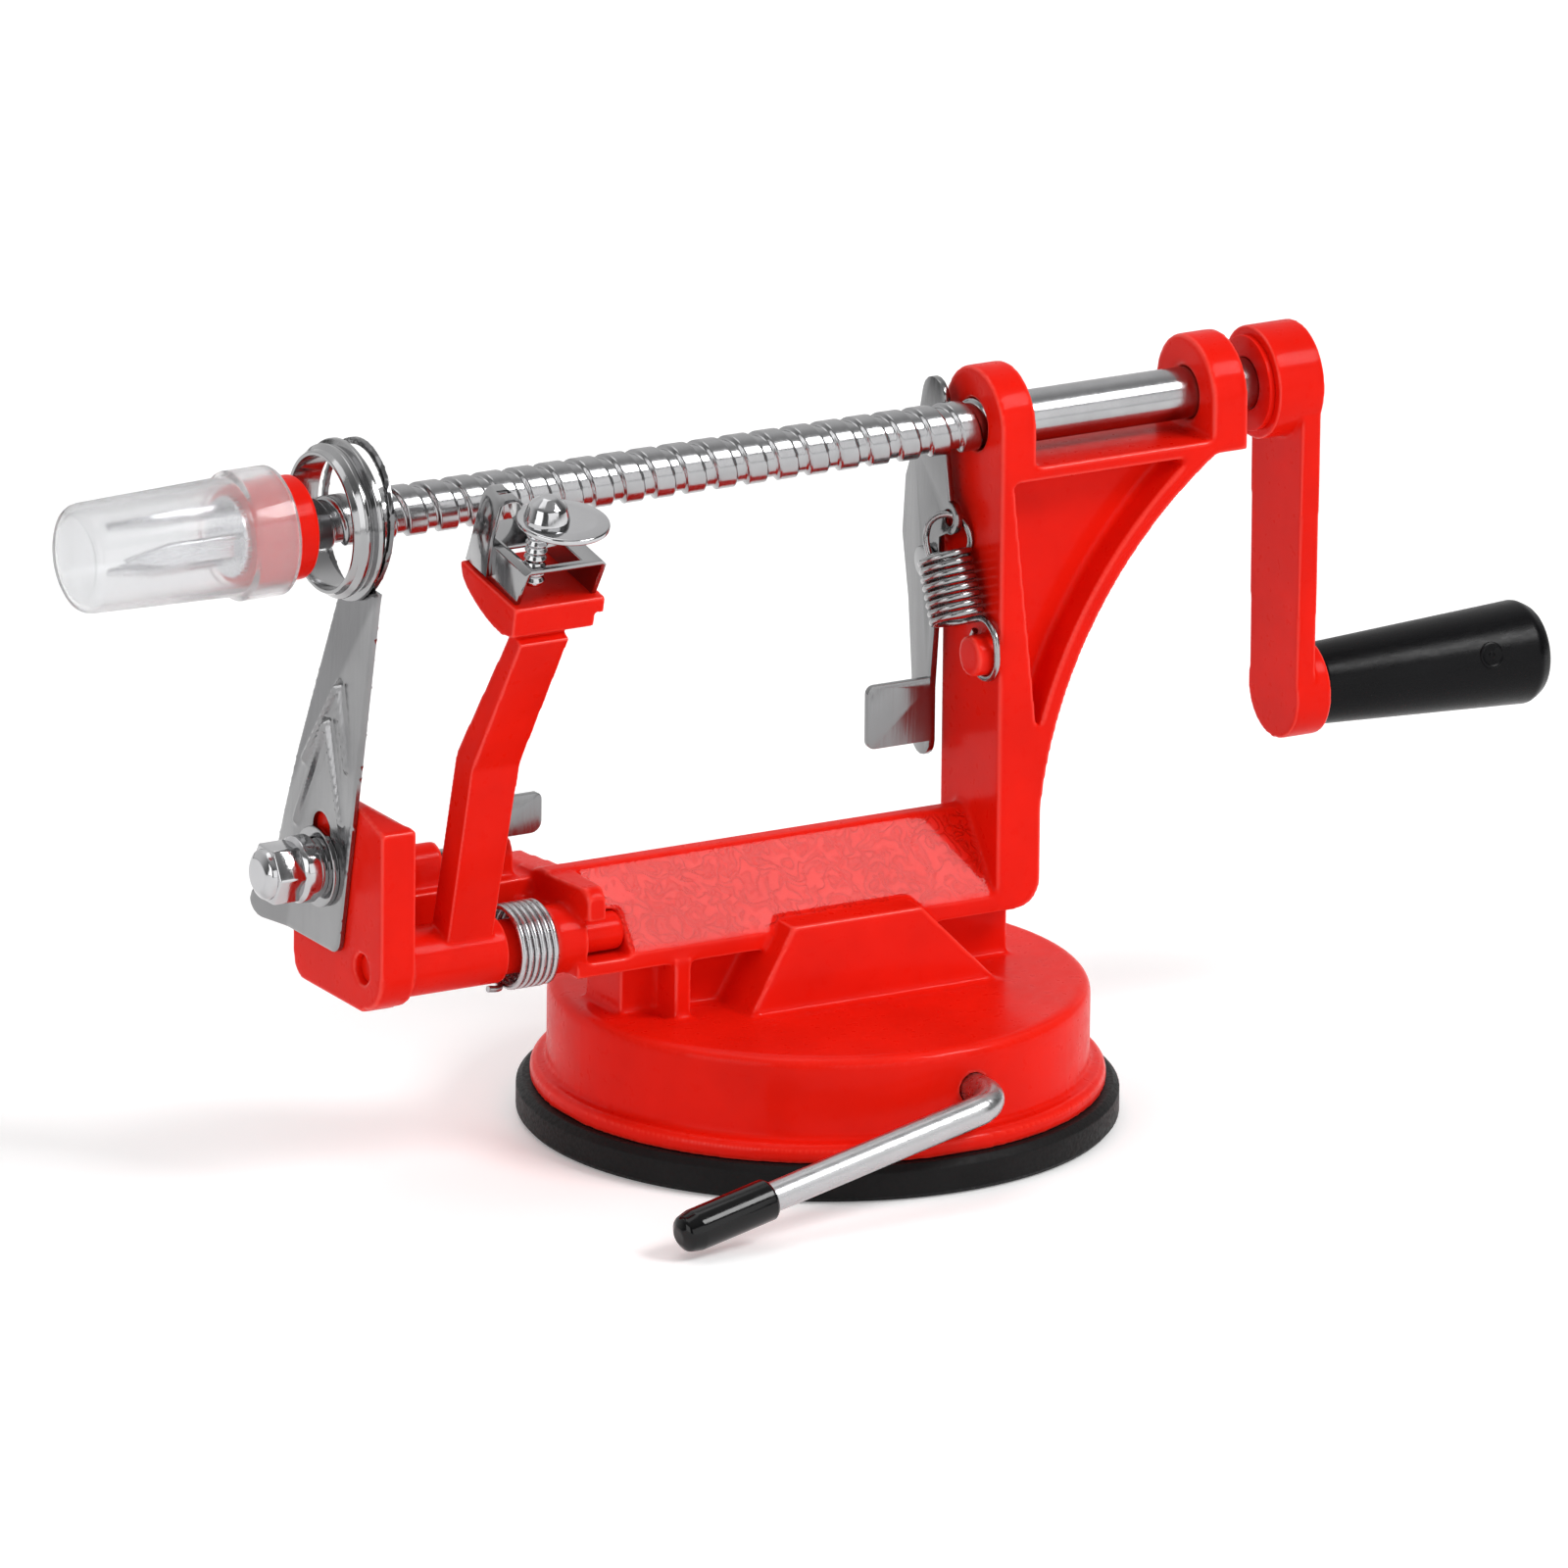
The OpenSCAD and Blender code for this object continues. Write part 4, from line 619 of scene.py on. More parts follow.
# By name: the setting, its strength in the colour and in the shade that drifts over it, the drift's
# scale and amount, the grain's stretch, scale, smoothest and roughest, the bump's strength and
# distance, and the shader's own values
EVEN = (1, 1, 1)
METAL = {"Metallic": 1.0}
FINISHES = {
    "Chrome": ("metal.chrome", 1, 0.9, (150, 0.5),
        ((6, 0.12, 0.12), 900, 0.06, 0.16), (0.03, 0.0002), METAL),
    "Rolled lead screw": ("metal.chrome", 0.78, 0.6396, (220, 0.6),
        ((4, 0.4, 0.4), 1100, 0.15, 0.26), (0.05, 0.0002), METAL),
    "Polished sheet steel": ("metal.steel", 1, 0.86, (70, 0.6),
        ((3, 3, 0.1), 700, 0.09, 0.18), (0.03, 0.0002), METAL),
    # Painted dark reflection: the polished sheet coloured darker, and rougher, for the feed lever
    # and the latch
    "Dull sheet steel": ("metal.steel", 0.68, 0.544, (70, 0.6),
        ((3, 3, 0.1), 700, 0.13, 0.24), (0.03, 0.0002), METAL),
    "Pressed sheet steel": ("metal.steel", 0.84, 0.588, (45, 0.8),
        ((2, 2, 0.25), 420, 0.13, 0.27), (0.06, 0.0004), METAL),
    "Fork steel": ("metal.chrome", 1.55, 1, (150, 0.5),
        ((0.2, 2, 2), 900, 0.2, 0.32), (0.04, 0.0002), METAL),
    "Drawn steel rod": ("metal.chrome", 1, 0.85, (120, 0.6),
        ((0.3, 2, 2), 800, 0.24, 0.36), (0.05, 0.0002), METAL),
    "Spring wire": ("metal.steel", 1, 0.8, (260, 0.7),
        (EVEN, 1500, 0.16, 0.3), (0.05, 0.0001), METAL),
    "Suction rubber": ("plastic.rubber", 1, 1.8, (90, 0.5),
        (EVEN, 1400, 0.42, 0.62), (0.14, 0.0003), {"Specular IOR Level": 0.12}),
    "Dipped vinyl": ("plastic.grip", 0.7, 1, (120, 0.5),
        (EVEN, 500, 0.1, 0.2), (0.04, 0.0003), {"Coat Weight": 0.2, "Specular IOR Level": 0.2}),
    "Moulded grip": ("plastic.grip", 1, 1.7, (70, 0.5),
        ((0.25, 1, 1), 1600, 0.24, 0.34), (0.06, 0.0002), {"Specular IOR Level": 0.11}),
    "Clear cap": ("plastic.clear", 1, 0.98, (60, 0.5),
        ((0.3, 1, 1), 260, 0.12, 0.22), (0.05, 0.0004),
        {"Transmission Weight": 0.85, "IOR": 1.4}),
}


def from_table(name):
    setting, strong, weak, *rest = FINISHES[name]
    family, key = setting.split(".")
    base = getattr(getattr(bpy.context.scene, "peeler_" + family), key)
    colour, shade = ([min(c * much, 1) for c in base] for much in (strong, weak))
    return finish(name, colour, shade, *rest)


def material(name):
    return bpy.data.materials.get(name) or from_table(name)


def recolour(tree, factor, colour):
    """Lays a colour over a material's own where factor is high."""
    below = shader_of(tree)["Base Color"].links[0].from_socket
    dress(tree, Base_Color=mixed(tree, factor, below, (*colour, 1)))


# How far a vertex stands out where the edge's painted highlight and extra coat begin, and where
# they are full
EDGE_HIGHLIGHT = (0.03, 0.125)
PLAIN_COAT, EDGE_COAT = 0.07, 0.4


@kept("materials", "Red enamel")
def enamel(name):
    """Red enamel, with a painted highlight of paler red and more coat along the outer edges."""
    paint = bpy.context.scene.peeler_paint
    made = finish(name, paint.colour, paint.shade, (60, 0.6),
                  (EVEN, paint.peel_size, 0.26, 0.38), (0.05, 0.0004),
                  {"Coat Weight": PLAIN_COAT, "Specular IOR Level": 0.035})
    tree = made.node_tree
    stands = add(tree, "ShaderNodeAttribute", attribute_name="edge_wear")["Fac"]
    # Painted highlight: the rounded outer edges are coloured a paler red, as if light caught them
    recolour(tree, ramp(tree, stands, *EDGE_HIGHLIGHT, 0, 0.55), (0.95, 0.065, 0.045))
    dress(tree, Coat_Weight=ramp(tree, stands, *EDGE_HIGHLIGHT, PLAIN_COAT, EDGE_COAT))
    return made


# The beam's sloping face in metres: its normal, then the middle, half size and soft border of its
# rough skin along the normal, X and Z
BEAM_NORMAL = (0, -0.7915, 0.6112)
BEAM_DEEP = (0.03215, 0.0006, 0.0003)
BEAM_X = (-0.0125, 0.0435, 0.0015)
BEAM_Z = (0.0463, 0.0072, 0.0012)


@kept("materials", "Red enamel on the casting")
def hammered_enamel(name):
    """The casting's enamel, with the rough skin that its sloping beam has, and painted shade in the
    skin's grooves.
    """
    made = enamel().copy()
    made.name = name
    tree = made.node_tree
    does = partial(maths, tree)
    spot = object_spot(tree)
    at = add(tree, "ShaderNodeSeparateXYZ", {0: spot})
    deep = add(tree, "ShaderNodeVectorMath", {0: spot, 1: BEAM_NORMAL}, operation="DOT_PRODUCT")

    def window(source, middle, reach, soft):
        off = does("ABSOLUTE", does("SUBTRACT", source, middle))
        return ramp(tree, off, reach, reach - soft, kind="LINEAR")

    side = does("MULTIPLY", window(at["X"], *BEAM_X), window(at["Z"], *BEAM_Z))
    face = does("MULTIPLY", window(deep["Value"], *BEAM_DEEP), side)
    cells = add(tree, "ShaderNodeTexNoise", {
        "Vector": spot, "Scale": 300, "Detail": 1.0, "Distortion": 1.4})["Fac"]
    worm = window(cells, 0.5, 0.09, 0.07)
    hammer = add(tree, "ShaderNodeBump", {
        "Distance": 0.0005, "Strength": does("MULTIPLY", face, 0.7), "Height": worm,
        "Normal": tree.nodes["Bump"].outputs["Normal"]}, invert=True)["Normal"]
    # Painted shade: the skin's grooves are coloured a darker red
    groove = does("MULTIPLY", does("MULTIPLY", face, worm), 0.15)
    recolour(tree, groove, (0.42, 0.006, 0.003))
    coat = shader_of(tree)["Coat Weight"].links[0].from_socket
    dress(tree, Coat_Weight=does("MULTIPLY_ADD", face, 0.1, coat), Normal=hammer)
    return made


@kept("materials", "Pressed sheet steel")
def pressed_steel(name):
    """Sheet of the slicer plate, with the ground strip towards its back edge coloured darker as a
    painted dark reflection.
    """
    made = from_table(name)
    tree = made.node_tree
    start, end = Vector(PLATE_FOLD[0]), Vector(PLATE_FOLD[1])
    along = (end - start).normalized()
    edge = (along.x * start.y - along.y * start.x) * MM
    side = add(tree, "ShaderNodeVectorMath", {
        0: object_spot(tree), 1: (0, -along.y, along.x)}, operation="DOT_PRODUCT")["Value"]
    # Painted dark reflection: the ground strip where the sheet turns away is coloured darker
    strip = ramp(tree, side, edge - 0.0004, edge + 0.0016, 0, 0.62)
    recolour(tree, strip, (0.11, 0.11, 0.115))
    return made


# Pieces


def screw_place(x=-4.6):
    """The thumb screw's frame on the arm's head, with its axis along X."""
    head = shift(HEAD) @ rotation(HEAD_TILT, "X")
    return head @ shift((x, -7.6, 0)) @ rotation(-QUARTER, "Y")


class PEELER_OT_castings(bpy.types.Operator):
    """Frame, peeling arm and crank with cast edges, and the red turned pieces"""

    bl_idname = "peeler.castings"
    bl_label = "Castings"

    def execute(self, context):
        red = ("red_paint", enamel())
        voxel = context.scene.peeler_paint.edge_round
        body = cast_copy("frame", "casting", voxel, FRAME_TRIANGLES)
        place(body, "frame", "red_paint", hammered_enamel(), "frame")
        # The thumb screw ends above the arm in the photo, so its hole in the arm's head is closed
        plug = turned("plug", bar(2.6, -5.5, 0, 0, 0), ORIGIN, screw_place())
        arm = cast_copy("peel_arm", "peeling_arm", voxel * ARM_VOXEL, SMALL_TRIANGLES, plug)
        place(arm, "peel_arm", *red, "peel_arm")
        crank = cast_copy("crank_arm", "crank", voxel * CRANK_VOXEL, SMALL_TRIANGLES)
        place(crank, "drive", *red, "crank_arm")
        collar = turned("collar", [
            [4.82, COLLAR_LEFT + 2, 0], [0, COLLAR_LEFT + 2, 0], [0, COLLAR_LEFT, 0],
            [9.5, COLLAR_LEFT, 0.7], [9.5, COLLAR_RIGHT, 0.9], [4.82, COLLAR_RIGHT, 0.3],
        ])
        place(collar, "drive", *red, "fork_collar")
        thrust = turned("crank_washer", washer(4.86, 8.86, 88.1, 89.3))
        place(thrust, "carriage", *red, "thrust_washer")
        pin = turned("arm_pin", [
            [0, -96.1, 0], [2.7, -96.1, 0.5], [2.7, -90, 0],
            [3.5, -90, 0], [3.5, -45.2, 0.9], [0, -45.2, 0],
        ], PIVOT)
        place(pin, "peel_arm", *red, "arm_pivot_pin")
        return {"FINISHED"}


class PEELER_OT_shaft(bpy.types.Operator):
    """Lead screw with its plain ends"""

    bl_idname = "peeler.shaft"
    bl_label = "Drive shaft"

    def execute(self, context):
        rolled = material("Rolled lead screw")
        screw = new_object("thread", bpy.data.meshes.new("thread"))
        grow(screw, screw_tree(), Material=rolled)
        smooth(screw, 60)
        left = turned("left_end", bar(SHAFT_R, SHAFT_LEFT, THREAD_X, 0.3, 0.15))
        right = turned("right_end", bar(SHAFT_R, THREAD_END, SHAFT_RIGHT, 0.15, 0.2))
        shaft = smooth(join("lead_screw", screw, left, right), 60)
        place(shaft, "drive", "chrome", rolled, "drive_shaft")
        return {"FINISHED"}


class PEELER_OT_fork(bpy.types.Operator):
    """Three-pronged fork and its clear cap"""

    bl_idname = "peeler.fork"
    bl_label = "Fork and cap"

    def execute(self, context):
        steel = material("Fork steel")
        base = COLLAR_LEFT - 1.4
        root, shoulder, point = base + 0.7, base - 13.8, base - 23
        half, tip = 2.0, 0.3
        outline = ((root, -half), (root, half), (shoulder, half),
                   (point, tip), (point, -tip), (shoulder, -half))
        low, high = ([(x, y, z) for x, y in outline] for z in (4.2, 5.8))
        prong = prism("prong", low, high, 0.3)
        grow(prong, ring_tree(), Count=3, First_Angle=QUARTER, Material=steel)
        smooth(prong)
        disc = turned("fork_disc", bar(7.5, base, COLLAR_LEFT, 0.3, 0.1))
        fork = smooth(join("prongs", prong, disc))
        place(fork, "drive", "steel_plate", steel, "fork")
        band, floor = CAP_RIGHT - CAP_BAND, CAP_LEFT + CAP_T
        cap = turned("clear_cap", [
            [0, floor, 0], [0, CAP_LEFT, 0], [9.95, CAP_LEFT, 2.6], [10.85, band, 0.3],
            [11.8, band + 0.6, 0.4], [11.8, CAP_RIGHT, 0.35], [9.65, CAP_RIGHT, 0.3],
            [9.65, band, 0.2], [8.75, floor, 1.6],
        ])
        place(cap, "cap", "clear_plastic", material("Clear cap"), "fork_cap")
        return {"FINISHED"}


class PEELER_OT_grip(bpy.types.Operator):
    """Black grip with its gate mark, spindle and crank screw"""

    bl_idname = "peeler.grip"
    bl_label = "Crank grip"

    def execute(self, context):
        bore, neck, belly = 3.06, 7.5, 9.55
        bore_end, swell = SPINDLE_END + 0.3, GRIP_END - 6
        grip = turned("grip", [
            [bore, GRIP_X, 0.2], [neck, GRIP_X, 0.7], [belly, swell, 30],
            [9.7, GRIP_END - 3.5, 2.5], [8.2, GRIP_END - 0.8, 2.6], [5, GRIP_END - 0.05, 4],
            [0, GRIP_END, 0], [0, bore_end, 0], [bore, bore_end, 0],
        ], GRIP_AXIS)
        # Gate mark: a shallow ring on the side
        mark_x, turn = 136.5, math.atan2(0.337, -0.941)
        r = neck + (belly - neck) * (mark_x - GRIP_X) / (swell - GRIP_X)
        out = shift((mark_x, *GRIP_AXIS)) @ rotation(turn, "X") @ rotation(QUARTER, "Z")
        mark = turned("gate_mark", [
            [0, r - 0.5, 0], [2.5, r - 0.5, 0], [2.5, r + 0.02, 0.2], [2.1, r + 0.12, 0.1],
            [1.8, r - 0.02, 0.1], [0.7, r - 0.02, 0.1], [0.5, r + 0.1, 0.1], [0, r + 0.12, 0],
        ], ORIGIN, out)
        whole = smooth(join("grip_with_mark", grip, mark))
        place(whole, "grip", "black_plastic", material("Moulded grip"), "crank_grip")
        spindle = turned("spindle", bar(3, SPINDLE_X, SPINDLE_END), GRIP_AXIS)
        place(spindle, "drive", "chrome", material("Chrome"), "grip_spindle")
        screw = sheet_copy("crank_screw", "crank_bolt", 0.00012)
        place(screw, "drive", "chrome", material("Chrome"), "crank_screw")
        return {"FINISHED"}


class PEELER_OT_base(bpy.types.Operator):
    """Suction pad, lifting stem and lever with its dipped end"""

    bl_idname = "peeler.base"
    bl_label = "Suction base"

    def execute(self, context):
        pad = turned("pad", [
            [0, 0, 0], [54.2, 0, 0.3], [55, 0.9, 0.6], [55, 5.3, 0.5],
            [53.8, 6.5, 0.4], [46.5, 6.5, 0.2], [44.5, 3, 0.4], [0, 3, 0],
        ], ORIGIN, rotation(-QUARTER, "Y"))
        place(pad, "frame", "pad_rubber", material("Suction rubber"), "suction_pad")
        stem = sheet_copy("suction_stem", "stem", 0.0003)
        place(stem, "stem", "black_plastic", material("Moulded grip"), "suction_stem")
        # The lever's own frame: axis along Y, handle along -X, drooping at rest
        steel = material("Drawn steel rod")
        turn = rotation(ROD_TURN, "Z")
        at = turn @ shift((0, 0, LEVER_Z)) @ rotation(-LEVER_DROOP, "Y")
        bend = 6
        corner = (-bend, ROD_LINE_Y + bend, 0)
        path = [(0, 16.5, 0), (0, 0, 0), (0, -30, 0), (0, -48, 0)]
        path += arc(corner, bend, X, Y, range(0, -91, -15))
        path += [(x, ROD_LINE_Y, 0) for x in (-15, -40, 2 - LEVER_LEN)]
        rod = wire("rod", [at @ Vector(p) for p in path], 2.8, steel, sides=48, steps=4)
        eccentric = turn @ shift((0, 0, LEVER_Z - 1.5)) @ rotation(QUARTER, "Z")
        cam = turned("cam", bar(4.3, -5, 5), ORIGIN, eccentric)
        lever = smooth(join("lever_rod", rod, cam))
        place(lever, "suction_lever", "chrome", steel, "suction_lever")
        end, bore = -LEVER_LEN, 2.82
        tip = turned("dipped_end", [
            [bore, end + 20, 0.2], [bore, end + 2, 0], [0, end + 2, 0], [0, end, 0],
            [1.6, end, 1.4], [3.3, end + 1.0, 1.6], [3.9, end + 3.6, 2],
            [3.9, end + 19.4, 0.5], [3.5, end + 20, 0.3],
        ], (ROD_LINE_Y, 0), at)
        place(tip, "suction_lever", "black_vinyl", material("Dipped vinyl"), "lever_tip")
        clip = sheet_copy("lever_clip", "rod_clip", 0.00015)
        # Smaller than in the source and further in, to clear the casting's ribs as the lever turns
        size, inward = Matrix.Scale(0.86, 4), turn @ Vector((0, 0.5 * MM, 0))
        middle = sum((v.co for v in clip.data.vertices), Vector()) / len(clip.data.vertices)
        clip.data.transform(shift(middle + inward) @ size @ shift(-middle))
        steel = material("Polished sheet steel")
        place(clip, "suction_lever", "steel_plate", steel, "lever_clip")
        return {"FINISHED"}


def coil(start, end, radius, rows, first, side):
    """A helix of eight points a turn between two points, as in the part's source."""
    start, end, side = Vector(start), Vector(end), Vector(side)
    t = (end - start).normalized()
    u = (side - side.dot(t) * t).normalized()
    ring = arc(start, radius, u, t.cross(u), range(first, first + 45 * rows + 1, 45))
    return [spot + (end - start) * (i / rows) for i, spot in enumerate(ring)]


class PEELER_OT_springs(bpy.types.Operator):
    """Tension spring of the feed lever and torsion spring of the arm"""

    bl_idname = "peeler.springs"
    bl_label = "Springs"

    def execute(self, context):
        ring, foot = Vector((27.8, 3.0, 104.15)), Vector((25.4, -4.9, 90.6))
        path = arc(ring, 4.4, Vector((0.6, -0.8, 0)), Z, range(-120, 181, 30))
        path += [ring + Vector(p) for p in (
            (-2.8, 3.1, -1.6), (-2.7, 2.5, -3.2), (-2.5, 1.9, -4.2))]
        path += coil((25.4, 0.4, 102.4), foot, 4.6, 66, 270, X)
        path += [foot + Vector(p) for p in ((4.5, -2.7, 0.3), (4.4, -5.2, -0.8))]
        path.append(Vector((29.7, -11.4, 88.3)))
        path += arc((29.7, -7.2, 84.8), 4.75, Y, Z, range(165, 406, 30))
        steel = material("Spring wire")
        tension = wire("tension_spring", path, 0.63, steel)
        place(tension, "frame", "spring_wire", steel, "feed_spring")
        barrel, first, last = -70.4, -68.99, -61.21
        y, z = PIVOT
        radius = 7.4
        low = z - radius
        twist = [(barrel - 1.6, y - 0.9, low + 0.2)]
        twist += coil((first, y, z), (last, y, z), radius, 48, 0, -Z)
        twist += [(last, y + 3.4, low + 0.3), (last, y + 6.5, low + 0.4)]
        steel = material("Drawn steel rod")
        torsion = wire("arm_spring", twist, 0.61, steel)
        place(torsion, "frame", "spring_wire", steel, "torsion_spring")
        return {"FINISHED"}


def nearest(spot, start, end):
    """How far along a line its nearest point is, as a share, and the way from there to the spot."""
    start, end = Vector(start), Vector(end)
    share = min(max(intersect_point_line(spot, start, end)[1], 0.0), 1.0)
    return share, spot - start.lerp(end, share)


def plate_height(spot):
    """How far the slicer plate stands out of its flat at a [y, z] point."""
    rise = 0.0
    for start, end, height in PLATE_RIBS:
        share, away = nearest(spot, start, end)
        ridge = math.exp(-(away.length / RIB_WIDTH) ** 2)
        rise = max(rise, height * (1 - 0.4 * share) * ridge)
    side = None
    for start, end in zip(PLATE_FOLD, PLATE_FOLD[1:]):
        away = nearest(spot, start, end)[1]
        if side is None or away.length < abs(side):
            along = Vector(end) - Vector(start)
            side = away.length * (1 if along.cross(away) > 0 else -1)
    low = min(max((56.0 - spot.y) / 8.0, 0.0), 1.0)
    bend = max(side, 0.0)
    slope = FOLD_SLOPES[0] * low + FOLD_SLOPES[1] * (1 - low)
    return rise + slope * bend * bend / (bend + 0.3)


def pressed_plate(node, name):
    """The slicer plate: the CAD node's outline and holes, filled with a fine ribbed mesh."""
    rim_step, step, clear, bevel = 0.8, 0.45, 0.35, 0.2
    back = (PLATE_LEFT + PLATE_T) * MM
    source = bmesh.new()
    source.from_mesh(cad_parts[node].data)
    bmesh.ops.remove_doubles(source, verts=source.verts, dist=WELD_CAD)
    flat = {f for f in source.faces if all(abs(v.co.x - back) < WELD_CAD for v in f.verts)}
    rims = [[v.co.copy() for v in e.verts] for f in flat for e in f.edges
            if sum(g in flat for g in e.link_faces) == 1]
    source.free()
    spots, links, known = [], [], {}

    def number(point):
        key = (round(point.y * 1e6), round(point.z * 1e6))
        if key not in known:
            known[key] = len(spots)
            spots.append(Vector((point.y / MM, point.z / MM)))
        return known[key]

    for a, b in rims:
        parts = max(1, round((b - a).length / (rim_step * MM)))
        row = [number(a.lerp(b, k / parts)) for k in range(parts + 1)]
        links.extend(zip(row, row[1:]))
    near = kdtree.KDTree(len(spots))
    for i, spot in enumerate(spots):
        near.insert((*spot, 0), i)
    near.balance()
    low, high = (Vector(f(p[k] for p in spots) for k in (0, 1)) for f in (min, max))
    for i in range(int((high.x - low.x) / step) + 1):
        for k in range(int((high.y - low.y) / step) + 1):
            spot = low + Vector((i, k)) * step
            if near.find((*spot, 0))[2] > clear:
                spots.append(spot)
    made, _, faces = delaunay_2d_cdt(spots, links, [], 0, 1e-5, False)[:3]
    walls = [(a.y / MM, a.z / MM, b.y / MM, b.z / MM) for a, b in rims]

    def solid(face):
        y, z = sum((made[i] for i in face), Vector((0, 0))) / len(face)
        return sum((z0 > z) != (z1 > z) and y < y0 + (z - z0) / (z1 - z0) * (y1 - y0)
                   for y0, z0, y1, z1 in walls) % 2

    faces = [tuple(f) for f in faces if solid(f)]
    uses = {}
    for f in faces:
        for a, b in zip(f, [*f[1:], f[0]]):
            key = (min(a, b), max(a, b))
            uses[key] = uses.get(key, 0) + 1
    border = [key for key, used in uses.items() if used == 1]
    rim = {i for key in border for i in key}
    heights = [plate_height(p) for p in made]
    verts = []
    for x, inward in ((PLATE_LEFT, bevel), (PLATE_LEFT + PLATE_T, -bevel)):
        verts += [(x - h + (inward if i in rim else 0), *p)
                  for i, (p, h) in enumerate(zip(made, heights))]
    count = len(made)
    sides = [(a, b, b + count, a + count) for a, b in border]
    back_faces = [tuple(i + count for i in reversed(f)) for f in faces]
    return smooth(object_from(name, verts, [*faces, *back_faces, *sides]), 40)


class PEELER_OT_sheets(bpy.types.Operator):
    """Sheet steel: feed lever, latch, blade bracket, peeling blade, slicer plate, coring ring"""

    bl_idname = "peeler.sheets"
    bl_label = "Sheet steel"

    def execute(self, context):
        edge = context.scene.peeler_metal.sheet_edge
        # The feed lever and the latch take steel coloured darker, a painted dark reflection
        for node, name, body, look, corners in (
            ("feed_lever", "half_nut_lever", "feed_lever", "Dull sheet steel", TAB_CORNERS),
            ("arm_latch", "latch_plate", "arm_latch", "Dull sheet steel", LATCH_CORNERS),
            ("blade_bracket", "blade_box", "peel_arm", "Polished sheet steel", ()),
            ("peel_blade", "blade_strip", "peel_arm", "Polished sheet steel", ()),
        ):
            sheet = sheet_copy(node, name, edge, corners)
            place(sheet, body, "steel_plate", material(look), node)
        plate = pressed_plate("slicer_blade", "slicer_plate")
        place(plate, "frame", "steel_plate", pressed_steel(), "slicer_blade")
        # Coring ring with its rolled bead
        x, back = PLATE_LEFT, PLATE_LEFT + PLATE_T
        ring = turned("corer", [
            [12.2, RING_X, 0.15], [12.2, back, 0.15], [13.2, back, 0.1], [13.2, x, 0],
            [14.8, x, 0.2], [14.8, x - 0.9, 0.3], [13.2, x - 1.26, 0.3], [14.0, x - 2.2, 0.4],
            [14.1, x - 3.0, 0.4], [13.2, x - 3.9, 0.3], [13.2, RING_X + 1, 0.3],
            [12.87, RING_X, 0.2],
        ])
        place(ring, "frame", "steel_plate", material("Polished sheet steel"), "coring_ring")
        return {"FINISHED"}


class PEELER_OT_fasteners(bpy.types.Operator):
    """Bolts, nut, washers, pins and the thumb screw"""

    bl_idname = "peeler.fasteners"
    bl_label = "Fasteners"

    def execute(self, context):
        steel, bright = material("Polished sheet steel"), material("Chrome")
        bolt = sheet_copy("slicer_bolt", "plate_bolt", SMALL_BEVEL)
        place(bolt, "frame", "steel_plate", steel, "slicer_bolt")
        x, hole = NUT_X, BOLT_HOLE_R
        flange = turned("nut_flange", [
            [hole, x, 0.1], [6.3, x, 0.3], [6.1, x - 2.6, 0.4], [5.5, x - 3.3, 0.3],
            [hole, x - 3.3, 0],
        ], BOLT)
        corner_r = 10.2 / 2 / math.cos(math.pi / 6)
        ends = (arc((end, *BOLT), corner_r, Y, Z, range(0, 360, 60))
                for end in (x - 8.5, x - 3))
        flats = prism("nut_flats", *ends, 0.4)
        dome = turned("nut_dome", [
            [0, x - 7, 0], [0, x - 10.2, 0], [3.1, x - 10.3, 1.1], [4.5, x - 9.4, 1.0],
            [4.75, x - 8.3, 0.3], [4.75, x - 7, 0],
        ], BOLT)
        nut = smooth(join("dome_nut", flange, flats, dome))
        place(nut, "frame", "chrome", bright, "slicer_nut")
        flat = turned("plain_washer", washer(hole, 7.42, PLATE_LEFT - 1.2, PLATE_LEFT), BOLT)
        place(flat, "frame", "steel_plate", steel, "slicer_washer")
        for node, name in (("slicer_lock_washer", "split_washer"),
                           ("feed_lever_screw", "lever_pivot"), ("latch_pin", "latch_axle")):
            place(sheet_copy(node, name, SMALL_BEVEL), "frame", "steel_plate", steel, node)
        shank = [[0, 3.4, 0], [1.6, 3.4, 0.3]]
        for k in range(7):
            along = 4.4 + k * 1.45
            shank += [[2.1, along, 0.2], [1.6, along + 0.7, 0.2]]
        shank += [[2.0, 14.6, 0], [0, 14.6, 0]]
        screw = turned("screw_shank", shank, ORIGIN, screw_place())
        disc = turned("screw_disc", [
            [0, 14, 0], [7.6, 14, 0.3], [8.5, 14.5, 0.5], [8.4, 15.4, 0.4], [6, 15.7, 2],
            [0, 15.8, 0],
        ], ORIGIN, screw_place(0.4))
        button = turned("screw_button", [
            [0, 14.9, 0], [4.2, 14.9, 0], [4.2, 16.4, 1.4], [3.4, 19.0, 1.8], [1.4, 20.5, 1.5],
            [0, 20.6, 0],
        ], ORIGIN, screw_place(-3.1))
        thumb = smooth(join("thumb_turn", screw, disc, button))
        place(thumb, "peel_arm", "chrome", bright, "thumb_screw")
        return {"FINISHED"}


# Stage


def studio_world():
    """A dark room with a pale sweep behind the object and a little light from above."""
    world = bpy.data.worlds.new("Studio")
    bpy.context.scene.world = world
    world.use_nodes = True
    tree = world.node_tree
    at = add(tree, "ShaderNodeSeparateXYZ", {0: add(tree, "ShaderNodeTexCoord")["Generated"]})
    sweep = ramp(tree, at["Y"], -0.1, 0.8, 0.10, 0.80)
    room = maths(tree, "ADD", sweep, ramp(tree, at["Z"], 0.4, 1.0, 0.0, 0.35))
    # The eye sees a white room
    eye = add(tree, "ShaderNodeLightPath")["Is Camera Ray"]
    light = tree.nodes["Background"].inputs
    light["Color"].default_value = (1, 1, 1, 1)
    feed(tree, maths(tree, "MAXIMUM", room, eye), light["Strength"])


